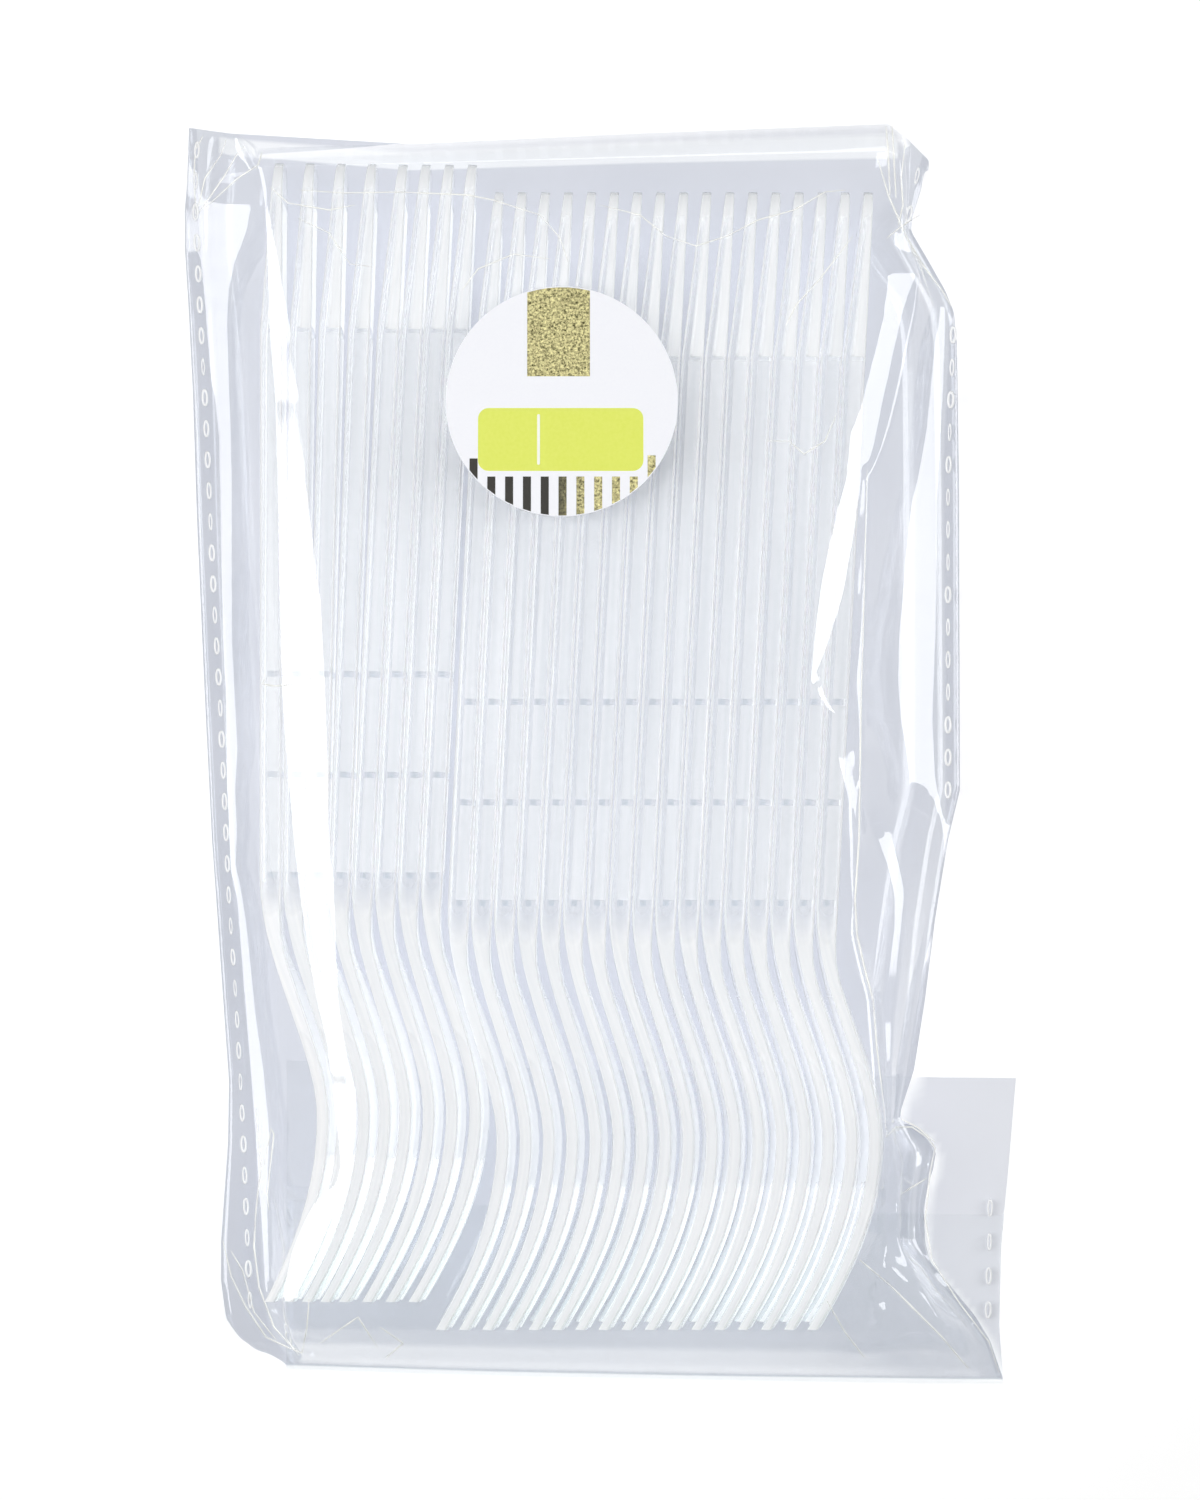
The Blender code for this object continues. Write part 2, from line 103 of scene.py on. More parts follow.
def throughShadow(tree, shader, hexColour):
    # Light on its way to a lamp passes with a plain tint.
    path = addNode(tree, "ShaderNodeLightPath").outputs["Is Shadow Ray"]
    plain = addNode(tree, "ShaderNodeBsdfTransparent", inputs={"Color": linear(hexColour)})
    return addNode(tree, "ShaderNodeMixShader", inputs={0: path, 1: shader, 2: plain})


def clearSheet(tree, colour, look):
    # Light passes with a tint, and the rest is mirrored.
    clear = addNode(tree, "ShaderNodeBsdfTransparent", inputs={"Color": colour})
    gloss = addNode(tree, "ShaderNodeBsdfGlossy", inputs={
        "Color": linear("FFFFFF"), "Roughness": look["roughness"]})
    return addNode(tree, "ShaderNodeMixShader", inputs={
        0: sheetGloss(tree, look["gloss"]), 1: clear, 2: gloss})


def mottled(tree, size, shades, inputs=None):
    # Patches of about this size in millimetres, and their colour between the two shades.
    place = addNode(tree, "ShaderNodeTexCoord").outputs["Object"]
    patches = addNode(tree, "ShaderNodeTexNoise", inputs={
        "Vector": place, "Scale": 1 / (size * mm), **(inputs or {})})
    low, high = [linear(shade) for shade in shades]
    tone = addNode(tree, "ShaderNodeMix", {"data_type": "RGBA"}, {"Factor": patches, "A": low, "B": high})
    return patches, tone


def linkObject(name, mesh):
    made = bpy.data.objects.new(name, mesh)
    bpy.context.scene.collection.objects.link(made)
    return made


def meshFrom(shape, name):
    # The bmesh as a mesh; the bmesh is given up.
    mesh = bpy.data.meshes.new(name)
    shape.to_mesh(mesh)
    shape.free()
    return mesh


def bakedMesh(source):
    # The evaluated mesh as a plain one, with the source's modifiers in it.
    bpy.context.view_layer.update()
    return bpy.data.meshes.new_from_object(source.evaluated_get(bpy.context.evaluated_depsgraph_get()))


def openGroup(name, wanted):
    # A node group with its named inputs: the tree, what the inputs give inside it, and their identifiers.
    tree = bpy.data.node_groups.new(name, "GeometryNodeTree")
    tree.interface.new_socket("Geometry", in_out="OUTPUT", socket_type="NodeSocketGeometry")
    identifiers = {}
    for title, kind, value in wanted:
        socket = tree.interface.new_socket(title, in_out="INPUT", socket_type="NodeSocket" + kind)
        if value is not None:
            socket.default_value = value
        identifiers[title] = socket.identifier
    return tree, addNode(tree, "NodeGroupInput").outputs, identifiers


def closeGroup(tree, geometry, material):
    # The export drops instances, so the group ends with real faces in their material.
    solid = addNode(tree, "GeometryNodeRealizeInstances", inputs={"Geometry": geometry})
    coated = addNode(tree, "GeometryNodeSetMaterial", inputs={"Geometry": solid, "Material": material})
    addNode(tree, "NodeGroupOutput", inputs={"Geometry": coated})


def runNodes(name, tree, values=None):
    # A plain mesh of what the node group makes.
    carrier = linkObject(name + "Carrier", bpy.data.meshes.new(name + "Carrier"))
    modifier = carrier.modifiers.new("nodes", "NODES")
    modifier.node_group = tree
    for identifier, value in (values or {}).items():
        modifier[identifier] = value
    mesh = bakedMesh(carrier)
    mesh.name = name
    made = mesh.materials[-1]
    mesh.materials.clear()
    mesh.materials.append(made)
    mesh.polygons.foreach_set("material_index", [0] * len(mesh.polygons))
    bpy.data.meshes.remove(carrier.data)
    return linkObject(name, mesh)


# Fork, repeated from the solid's own formulas with rounded edges

fork = {
    "length": 182.0,
    "handleLength": 115.0,
    "bevelLength": 27.03,
    "endRound": 5.5,
    "endNose": 0.45,
    "handleWidth": 14.0,
    "neckWidth": 8.0,
    "handleDepth": 3.5,
    "endThickness": 1.4,
    "web": 1.1,
    "flange": 1.2,
    "draft": 0.35,
    "rib": 1.0,
    "ribPitch": 16.1,
    "ribs": 3,
    "headWidth": 26.0,
    "shoulder": 30.15,
    "tipSpread": 23.0,
    "bellyFromNeck": 38.19,
    "bellyDepth": 10.8,
    "tipDepth": 2.5,
    "tipSlope": -0.55,
    "plate": 1.9,
    "plateRun": 12.06,
    "tipThickness": 1.4,
    "dish": 1.1,
    "dishRun": 30.15,
    "tines": 4,
    "tineLength": 23.1,
    "slotRoot": 2.3,
    "slotTip": 3.2,
    "slotSteps": 8,  # of its round root
    "tipTaper": 4.0,
    "tipTaperWidth": 0.9,
    "edgeRadius": 0.32,
    "station": 3.0,  # spacing of the sections along the head
    "handleStation": 60.0,
    "clear": 10.0,  # how far the slot's cutter stands out
    "sharp": 40,  # degrees
    "plastic": {
        "gloss": 0.03,  # least share that it mirrors
        "roughness": 0.12,
        "clear": ("F1F2F3", "FEFEFE"),  # flow streaks of the moulding
        # shades of the painted edge glow, varied by the flow streaks
        "glowWhite": ("F0F2F5", "FFFFFF"),
        "streak": 0.625,  # width of the streaks
        "streakStretch": 0.012,  # how slowly they change along the fork
        "numberStep": 7.3,  # so that no two forks have the same streaks
        "tips": "F3FAF9",
        "tipsFrom": 158.0,
        "tipsTo": 182.0,
        # painted shade: a darker tint where the ribs lie inside the handle
        "ribs": "E8ECEF",
        "ribDepth": (1.3, 2.2),  # below the front face
        "ribHalf": 0.45,
        # painted edge glow: how white a face is, by how level it lies, for the light that clear plastic
        # carries to its rounded edges
        "whiteShare": ((0, 0.03), (0.25, 0.08), (0.5, 0.9), (0.95, 0.95), (0.99, 0.25), (1, 0.18)),
        "levelPower": 8.0,  # keeps a share to the level edges
        # painted edge glow on the level edges of the handle's bevel
        "bevelGlow": 0.8,
        "bevelRear": (0.25, 0.6, 0.12),  # share of the depth, from and to, and what is left at the front
        "headFrom": 118.0,
        "headTo": 135.0,
        "headGlow": (0.34, 0.6),  # painted glow of its walls, and more on its level edges
        "shadow": "FDFDFD",
    },
}
belly = fork["handleLength"] + fork["bellyFromNeck"]
headStart = fork["handleLength"] + fork["shoulder"]
slotStart = fork["length"] - fork["tineLength"]


def hermite(start, end, t):
    h = end[0] - start[0]
    u = min(max((t - start[0]) / h, 0.0), 1.0)
    return (
        (2 * u**3 - 3 * u**2 + 1) * start[1]
        + (u**3 - 2 * u**2 + u) * h * start[2]
        + (3 * u**2 - 2 * u**3) * end[1]
        + (u**3 - u**2) * h * end[2]
    )


def frontDepth(s):
    if s < fork["bevelLength"]:
        return (fork["handleDepth"] - fork["endThickness"]) * (1 - s / fork["bevelLength"])
    lowest = (belly, fork["bellyDepth"], 0.0)
    if s < belly:
        return hermite((fork["handleLength"], 0.0, 0.0), lowest, s)
    return hermite(lowest, (fork["length"], fork["tipDepth"], fork["tipSlope"]), s)


def thickness(s):
    if s <= fork["handleLength"]:
        return fork["handleDepth"] - frontDepth(s)
    slope = (frontDepth(s + 0.5) - frontDepth(s - 0.5)) if s < fork["length"] - 0.5 else fork["tipSlope"]
    plate = fork["plate"]
    plate += (fork["tipThickness"] - fork["plate"]) * smooth((s - slotStart) / fork["tineLength"])
    blend = smooth((s - fork["handleLength"]) / fork["plateRun"])
    return (fork["handleDepth"] + (plate - fork["handleDepth"]) * blend) * math.hypot(1, slope)


def halfWidth(s):
    if s < fork["endRound"]:
        part = 1 - s / fork["endRound"]
        return fork["handleWidth"] / 2 * math.sqrt(1 - (1 - fork["endNose"] ** 2) * part**2)
    if s < fork["handleLength"]:
        share = (s - fork["endRound"]) / (fork["handleLength"] - fork["endRound"])
        return (fork["handleWidth"] + (fork["neckWidth"] - fork["handleWidth"]) * share) / 2
    if s < headStart:
        share = smooth((s - fork["handleLength"]) / fork["shoulder"])
        return (fork["neckWidth"] + (fork["headWidth"] - fork["neckWidth"]) * share) / 2
    share = smooth((s - headStart) / (fork["length"] - headStart))
    taper = max(s - fork["length"] + fork["tipTaper"], 0.0) / fork["tipTaper"]
    wide = fork["headWidth"] + (fork["tipSpread"] - fork["headWidth"]) * share
    return (wide - fork["tipTaperWidth"] * taper) / 2


def dishAt(s):
    return fork["dish"] * smooth((s - fork["handleLength"]) / fork["dishRun"])


def forkSection(s):
    # Rounded section: the front face from -width to +width, then the back face.
    front, wide, deep = frontDepth(s), halfWidth(s), thickness(s)
    dish = dishAt(s)
    radius = min(fork["edgeRadius"], deep * 0.45, wide * 0.3)
    corner = [math.radians(a) for a in (0, 30, 60, 90)]
    outline = [(-wide + radius - radius * math.cos(a), radius - radius * math.sin(a)) for a in corner]
    outline += [(w * wide, 0) for w in (-0.5, 0, 0.5)]
    outline += [(-w, d) for w, d in outline[3::-1]]
    outline += [(w, deep - d) for w, d in outline[::-1]]
    return [Vector((front + d - dish * (w / wide) ** 2, -s, w)) * mm for w, d in outline]


def loftMesh(name, loops):
    shape = bmesh.new()
    rings = [[shape.verts.new(point) for point in loop] for loop in loops]
    for ring, following in zip(rings, rings[1:]):
        for k in range(len(ring)):
            shape.faces.new((ring[k - 1], ring[k], following[k], following[k - 1]))
    shape.faces.new(rings[0])
    shape.faces.new(rings[-1][::-1])
    bmesh.ops.recalc_face_normals(shape, faces=shape.faces)
    return meshFrom(shape, name)


def channelCutter(start, end):
    loops = []
    above = fork["handleDepth"] + 1
    for s in (start, end):
        floor = frontDepth(s) + fork["web"]
        low = halfWidth(s) - fork["flange"] - fork["draft"]
        high = low + fork["draft"] * (above - floor) / (fork["handleDepth"] - fork["web"])
        corners = ((floor, -low), (above, -high), (above, high), (floor, low))
        loops.append([Vector((depth, -s, aside)) * mm for depth, aside in corners])
    return loftMesh("channel", loops)


def slotCutter(side):
    radius = fork["slotRoot"] / 2
    taperStart = fork["length"] - fork["tipTaper"]
    beyond = fork["length"] + 1
    flare = fork["tipTaperWidth"] * (beyond - taperStart) / fork["tipTaper"] / 2

    def centre(s):
        return side * 2 * halfWidth(min(s, taperStart)) / fork["tines"]

    outline = []
    for k in range(fork["slotSteps"] + 1):
        turn = math.pi * k / fork["slotSteps"]
        aside = centre(slotStart) - radius * math.cos(turn)
        outline.append((slotStart + radius * (1 - math.sin(turn)), aside))
    for s, wide in ((taperStart, fork["slotTip"] / 2), (beyond, fork["slotTip"] / 2 + flare)):
        outline.insert(0, (s, centre(s) - wide))
        outline.append((s, centre(s) + wide))
    depths = (-fork["clear"], fork["bellyDepth"] + fork["clear"])
    return loftMesh("slot", [[Vector((d, -s, w)) * mm for s, w in outline] for d in depths])


def forkStations():
    # Places along the fork where its section is drawn.
    stations = [fork["endRound"] * (1 - math.cos(math.radians(a))) for a in (0, 30, 50, 70, 90)]
    stations += [fork["bevelLength"] * 0.6, fork["bevelLength"], fork["handleStation"], fork["handleLength"]]
    reach = fork["length"] - fork["tipTaper"] - fork["handleLength"]
    steps = round(reach / fork["station"])
    stations += [fork["handleLength"] + reach * k / steps for k in range(1, steps + 1)]
    return stations + [fork["length"] - fork["tipTaper"] / 2, fork["length"]]


def makeForkMesh():
    blank = linkObject("forkBlank", loftMesh("forkBlank", [forkSection(s) for s in forkStations()]))
    ribs = [fork["handleLength"] - fork["rib"] / 2 - k * fork["ribPitch"] for k in range(fork["ribs"])]
    ribs = [fork["bevelLength"]] + ribs[::-1]
    starts = [fork["endRound"] * 1.2] + [rib + fork["rib"] / 2 for rib in ribs[:-1]]
    tools = [channelCutter(start, rib - fork["rib"] / 2) for start, rib in zip(starts, ribs)]
    tools += [slotCutter(k - fork["tines"] / 2) for k in range(1, fork["tines"])]
    shape = bmesh.new()
    for tool in tools:
        shape.from_mesh(tool)
        bpy.data.meshes.remove(tool)
    cutter = linkObject("forkCutter", meshFrom(shape, "forkCutter"))
    cut = blank.modifiers.new("cut", "BOOLEAN")
    cut.operation = "DIFFERENCE"
    cut.object = cutter
    mesh = bakedMesh(blank)
    mesh.name = "fork"
    # Each point's place on its own fork: below the front face, from the handle's end, aside.
    local = mesh.attributes.new("local", "FLOAT_VECTOR", "POINT")
    places = [(v.co.x / mm - frontDepth(-v.co.y / mm), -v.co.y / mm, v.co.z / mm) for v in mesh.vertices]
    local.data.foreach_set("vector", [value for place in places for value in place])
    mesh.transform(Matrix.Translation((0, fork["handleLength"] * mm, 0)))
    for helper in (blank, cutter):
        bpy.data.meshes.remove(helper.data)
    mesh.shade_smooth()
    mesh.set_sharp_from_angle(angle=math.radians(fork["sharp"]))
    print("fork:", len(mesh.polygons), "faces")
    return mesh


# Row of forks in its bag

pack = {
    "layer": 0.5,  # from one wall of the film to the next, where they lie together
    "topRoom": 6.0,
    "bottomRoom": 9.4,
}
row = {
    "count": 25,
    "firstGroup": 8,
    "groupShift": 4.4,
    "pitch": 3.68,
    "groupGap": 4.3,
    "centreX": -9.9,
    "leanFrom": 4,  # the lean grows up to this fork, then hardly
    "leanAt": 2.6,  # degrees
    "leanLast": 2.9,
}

rowWidth = (row["count"] - 2) * row["pitch"] + row["groupGap"]
rowLeft = row["centreX"] - rowWidth / 2
topFold = (fork["length"] + row["groupShift"] + pack["topRoom"] + pack["bottomRoom"]) / 2
bottomFold = -topFold
neckY = topFold - pack["topRoom"] - fork["handleLength"]
floorZ = pack["layer"]
headFloor = 2 * pack["layer"]
tiltRun = headStart - fork["endRound"]
forkTilt = math.asin((headFloor + fork["headWidth"] / 2 - floorZ - fork["handleWidth"] / 2) / tiltRun)
neckZ = floorZ + fork["handleWidth"] / 2 + (fork["handleLength"] - fork["endRound"]) * math.sin(forkTilt)


def makeRowTree(material):
    # Node group that sets copies of one fork in the row, each with its own place and lean.
    tree, given, sockets = openGroup("forkRow", (
        ("Fork", "Object", None),
        ("Count", "Int", row["count"]),
        ("First group", "Int", row["firstGroup"]),
        ("Start", "Vector", Vector((rowLeft, neckY, neckZ)) * mm),
        ("Pitch", "Vector", Vector((row["pitch"], 0, 0)) * mm),
        ("Group step", "Vector", Vector((row["groupGap"] - row["pitch"], -row["groupShift"], 0)) * mm),
        ("Lean from", "Int", row["leanFrom"]),
        ("Lean", "Float", -math.radians(row["leanAt"])),
        ("Further lean", "Float", -math.radians(row["leanLast"] - row["leanAt"])),
        ("Tilt", "Float", -forkTilt),
    ))
    index = addNode(tree, "GeometryNodeInputIndex").outputs["Index"]
    later = addNode(tree, "FunctionNodeCompare", {"data_type": "INT", "operation": "GREATER_EQUAL"}, {
        2: index, 3: given["First group"]})
    step = addNode(tree, "ShaderNodeVectorMath", {"operation": "SCALE"}, {0: given["Pitch"], "Scale": index})
    jump = addNode(tree, "ShaderNodeVectorMath", {"operation": "SCALE"}, {
        0: given["Group step"], "Scale": later})
    offset = addNode(tree, "ShaderNodeVectorMath", {"operation": "ADD"}, {0: step, 1: jump})
    place = addNode(tree, "ShaderNodeVectorMath", {"operation": "ADD"}, {0: offset, 1: given["Start"]})
    last = addNode(tree, "ShaderNodeMath", {"operation": "SUBTRACT"}, {0: given["Count"], 1: 1.0})
    lean = addNode(tree, "ShaderNodeMapRange", inputs={
        "Value": index, "From Max": given["Lean from"], "To Max": given["Lean"]})
    further = addNode(tree, "ShaderNodeMapRange", inputs={
        "Value": index, "From Min": given["Lean from"], "From Max": last, "To Max": given["Further lean"]})
    turn = addNode(tree, "ShaderNodeMath", {"operation": "ADD"}, {0: lean, 1: further})
    rotation = addNode(tree, "ShaderNodeCombineXYZ", inputs={"X": given["Tilt"], "Z": turn})
    points = addNode(tree, "GeometryNodePoints", inputs={"Count": given["Count"], "Position": place})
    source = addNode(tree, "GeometryNodeObjectInfo", inputs={"Object": given["Fork"]})
    copies = addNode(tree, "GeometryNodeInstanceOnPoints", inputs={
        "Points": points, "Instance": source.outputs["Geometry"], "Rotation": rotation})
    settings = {"data_type": "FLOAT", "domain": "INSTANCE"}
    numbered = addNode(tree, "GeometryNodeStoreNamedAttribute", settings, {
        "Geometry": copies, "Name": "number", "Value": index})
    closeGroup(tree, numbered, material)
    return tree, sockets["Fork"]


def makeForkPlastic():
    # Clear polystyrene, injection moulded: water-clear walls; the white on rounded edges, the bevel and the
    # head is painted glow, for the light that the plastic carries to its edges.
    plastic = fork["plastic"]
    made, tree = newMaterial("clearPolystyreneMoulded")
    normal = addNode(tree, "ShaderNodeTexCoord").outputs["Normal"]
    upright = addNode(tree, "ShaderNodeSeparateXYZ", inputs={"Vector": normal}).outputs["Z"]
    local = addNode(tree, "ShaderNodeAttribute", {"attribute_name": "local"}).outputs["Vector"]
    parts = addNode(tree, "ShaderNodeSeparateXYZ", inputs={"Vector": local}).outputs
    number = addNode(tree, "ShaderNodeAttribute", {"attribute_name": "number"}).outputs["Fac"]
    ribMiddle = fork["handleLength"] - fork["rib"] / 2
    ribsMiddle = ribMiddle - fork["ribPitch"]
    bevelGrowth = (fork["handleDepth"] - fork["endThickness"]) / fork["bevelLength"]

    # Each line is one step of the sums: what it gives, the operation and what goes in.
    value = {"depth": parts["X"], "along": parts["Y"], "number": number, "upright": upright}
    for result, operation, *given in (
        ("across", "MULTIPLY_ADD", "number", plastic["numberStep"], "depth"),
        ("stretched", "MULTIPLY", "along", plastic["streakStretch"]),
        ("fromRib", "SUBTRACT", "along", ribMiddle - 8 * fork["ribPitch"]),
        ("awayFromRib", "PINGPONG", "fromRib", fork["ribPitch"] / 2),
        ("atRib", "LESS_THAN", "awayFromRib", plastic["ribHalf"]),
        ("nearRibs", "COMPARE", "along", ribsMiddle, 1.5 * fork["ribPitch"]),
        ("belowFront", "GREATER_THAN", "depth", plastic["ribDepth"][0]),
        ("aboveBack", "LESS_THAN", "depth", plastic["ribDepth"][1]),
        ("ribInDepth", "MULTIPLY", "belowFront", "aboveBack"),
        ("ribInLength", "MULTIPLY", "atRib", "nearRibs"),
        ("rib", "MULTIPLY", "ribInDepth", "ribInLength"),
        ("level", "ABSOLUTE", "upright"),
        ("edge", "POWER", "level", plastic["levelPower"]),
        ("endDepth", "MULTIPLY_ADD", "along", bevelGrowth, fork["endThickness"]),
        ("depthShare", "DIVIDE", "depth", "endDepth"),
        ("atBevel", "LESS_THAN", "along", fork["bevelLength"]),
        ("bevelEdge", "MULTIPLY", "atBevel", "edge"),
        ("headShare", "MULTIPLY_ADD", "edge", plastic["headGlow"][1], plastic["headGlow"][0]),
    ):
        inputs = {k: value.get(item, item) for k, item in enumerate(given)}
        value[result] = addNode(tree, "ShaderNodeMath", {"operation": operation}, inputs)

    streak = addNode(tree, "ShaderNodeCombineXYZ", inputs={"X": value["across"], "Y": value["stretched"]})
    flow = addNode(tree, "ShaderNodeTexNoise", {"noise_dimensions": "2D"}, {
        "Vector": streak, "Scale": 1 / plastic["streak"], "Detail": 1.0})
    tips = addNode(tree, "ShaderNodeMapRange", {"interpolation_type": "SMOOTHSTEP"}, {
        "Value": value["along"], "From Min": plastic["tipsFrom"], "From Max": plastic["tipsTo"]})
    low, high = [linear(colour) for colour in plastic["clear"]]
    tint = addNode(tree, "ShaderNodeMix", {"data_type": "RGBA"}, {"Factor": flow, "A": low, "B": high})
    # a tint at the tips, and painted shade at the ribs
    for share, colour in ((tips, plastic["tips"]), (value["rib"], plastic["ribs"])):
        tint = addNode(tree, "ShaderNodeMix", {"data_type": "RGBA"}, {
            "Factor": share, "A": tint, "B": linear(colour)})
    shiny = clearSheet(tree, tint, plastic)

    walls = addNode(tree, "ShaderNodeValToRGB", inputs={"Fac": value["level"]})
    ramp = walls.color_ramp.elements
    for position, share in plastic["whiteShare"]:
        stop = ramp[0] if position == 0 else ramp[-1] if position == 1 else ramp.new(position)
        stop.color = (share, share, share, 1)
    rearFrom, rearTo, frontLeft = plastic["bevelRear"]
    rear = addNode(tree, "ShaderNodeMapRange", {"interpolation_type": "SMOOTHSTEP"}, {
        "Value": value["depthShare"], "From Min": rearFrom, "From Max": rearTo, "To Min": frontLeft})
    bevel = addNode(tree, "ShaderNodeMath", {"operation": "MULTIPLY"}, {0: value["bevelEdge"], 1: rear})
    bevel = addNode(tree, "ShaderNodeMath", {"operation": "MULTIPLY"}, {
        0: bevel, 1: plastic["bevelGlow"]})
    head = addNode(tree, "ShaderNodeMapRange", {"interpolation_type": "SMOOTHSTEP"}, {
        "Value": value["along"], "From Min": plastic["headFrom"], "From Max": plastic["headTo"]})
    head = addNode(tree, "ShaderNodeMath", {"operation": "MULTIPLY"}, {0: head, 1: value["headShare"]})
    # painted edge glow: the share of white, by how level a face lies, at the bevel and in the head
    whiteShare = walls
    for more in (bevel, head):
        whiteShare = addNode(tree, "ShaderNodeMath", {"operation": "MAXIMUM"}, {0: whiteShare, 1: more})
    low, high = [linear(colour) for colour in plastic["glowWhite"]]
    glowTone = addNode(tree, "ShaderNodeMix", {"data_type": "RGBA"}, {"Factor": flow, "A": low, "B": high})
    white = addNode(tree, "ShaderNodeBsdfDiffuse", inputs={"Color": glowTone})
    mixed = addNode(tree, "ShaderNodeMixShader", inputs={0: whiteShare, 1: shiny, 2: white})
    finishMaterial(tree, throughShadow(tree, mixed, plastic["shadow"]))
    return made


forkSource = linkObject("forkSource", makeForkMesh())
rowTree, forkSocket = makeRowTree(makeForkPlastic())
forkRow = runNodes("forkRow", rowTree, {forkSocket: forkSource})
bpy.data.meshes.remove(forkSource.data)
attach(forkRow, "root")
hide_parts(*[f"fork_{k + 1:02d}" for k in range(row["count"])])
print("row of forks:", len(forkRow.data.polygons), "faces")


# Bag: crease lines of the front film as the camera sees them, then heights, wrinkles and the folded mouth

photo = {
    "width": 1200,
    "height": 1500,
    "mmPerPixel": 0.16,
    "topLine": 122,  # lines are rows of the photograph, in pixels
    "bottomLine": 1376,
    "earReach": 60,
}
camera = {"lens": 120.0, "sensor": 36.0, "distance": 800.0, "aimX": 0.0, "aimY": 0.5, "aimZ": 15.0}

bag = {
    "slit": 0.7,
    "lift": 1.4,  # of the taut film over the row
    "topFoldZ": 4.0,
    "weldHeight": 0.28,
    "flap": 27.0,
    "lip": 22.5,
    "ramp": 4.0,
    "flapSlant": 0.6,
    "flapStep": 1.5,
    "turnStep": 20,  # degrees
    "innerTurn": 0.15,
    "foot": 0.15,
    "edgeFoot": (0.015, 0.165),  # of the left edge, and more where it mirrors the lamp
    "edgeBright": ((150, 170), (240, 270)),  # lines where that comes and goes
    "leftFacets": (168, 200),  # lines where the left facets begin; the ear above is plain
    "rightFacets": (215, 260),
    "lowerPart": (780, 840),  # past here the strip of the V lies on the side wall
    "ledgeEnd": (1140, 1200),
    "leftSlope": 0.33,  # of the facets that mirror the left lamp
    "rightSlope": 0.42,
    "sink": 1.25,  # most that a facet lies below the taut film
    "lowerSink": 0.2,
    "sideShare": 0.5,
    "sag": 0.5,
    "sagShares": (0.3, -0.2, 0.4),
    "topRise": ((0.0, 0.0), (0.12, 0.45), (0.38, 0.9), (0.8, 1.0), (1.0, 1.0)),
    "bottomRise": ((0.0, 0.0), (0.15, 0.30), (0.45, 0.72), (0.8, 0.96), (1.0, 1.0)),
    # share of the width, and 1 where the back wall lies low
    "backShares": ((0, 0), (0.03, 0), (0.055, 1), (0.3, 1), (0.6, 1), (0.945, 1), (0.97, 0), (1, 0)),
    "frontColumns": (7, 9, 12, 10, 28, 28, 28, 28, 8, 7, 9, 9, 3, 5),  # between one crease line and the next
    "backColumns": (3, 6, 12, 14, 14, 6, 3),
    "rowStep": 5.0,  # pixels
    "endStep": 3.0,
    "ripple": 0.07,
    "rippleWaves": ((9, 26, 3.1, 1.0), (3.5, 11, 7.7, 0.4)),  # across, along, which noise, strength
    "rippleHold": (12, 20),  # rows and columns in which it fades to the edges
    "ridgeZ": 20.0,
    "wrinkles": (  # line in the photograph, height and half width
        (((867, 470), (864, 600), (861, 700), (859, 840), (855, 900), (857, 935), (865, 970), (873, 1000),
          (877, 1050), (882, 1090), (886, 1130)), 0.35, 0.6),
        (((888, 1270), (912, 1295), (935, 1315), (970, 1340)), 1.0, 2.0),
        (((860, 1357), (896, 1350), (937, 1350)), 0.5, 1.2),
        (((930, 1290), (950, 1310), (975, 1337), (988, 1352)), 1.2, 2.2),
    ),
    "crumples": (  # place in the photograph, reach, height, size of the folds and which noise
        ((300, 1335), (9, 7), 1.4, 3.2, 1.0),
        ((930, 1330), (13, 9), 1.6, 4.0, 5.0),
        ((915, 1200), (6, 12), 0.9, 3.0, 9.0),
    ),
    "film": {
        "gloss": 0.06,  # least share that it mirrors
        "roughness": 0.05,
        "clear": "FAFBFB",
        "grey": ("CACDD5", "D4D6DD"),
        "cloud": 22.22,
        "shadow": "F9F9FA",
        "finTone": 0.35,  # tone 1 is the grey of the back wall
        "lipTone": 0.72,
        "lipBlend": 2.0,
        "paintedHighlightRows": (2, 8),  # painted highlight: a paler band of the back wall under the top fold
        "paintedHighlightInset": 6,  # columns left out at each side
        "paintedHighlightTone": 0.4,
    },
}
film = bag["film"]

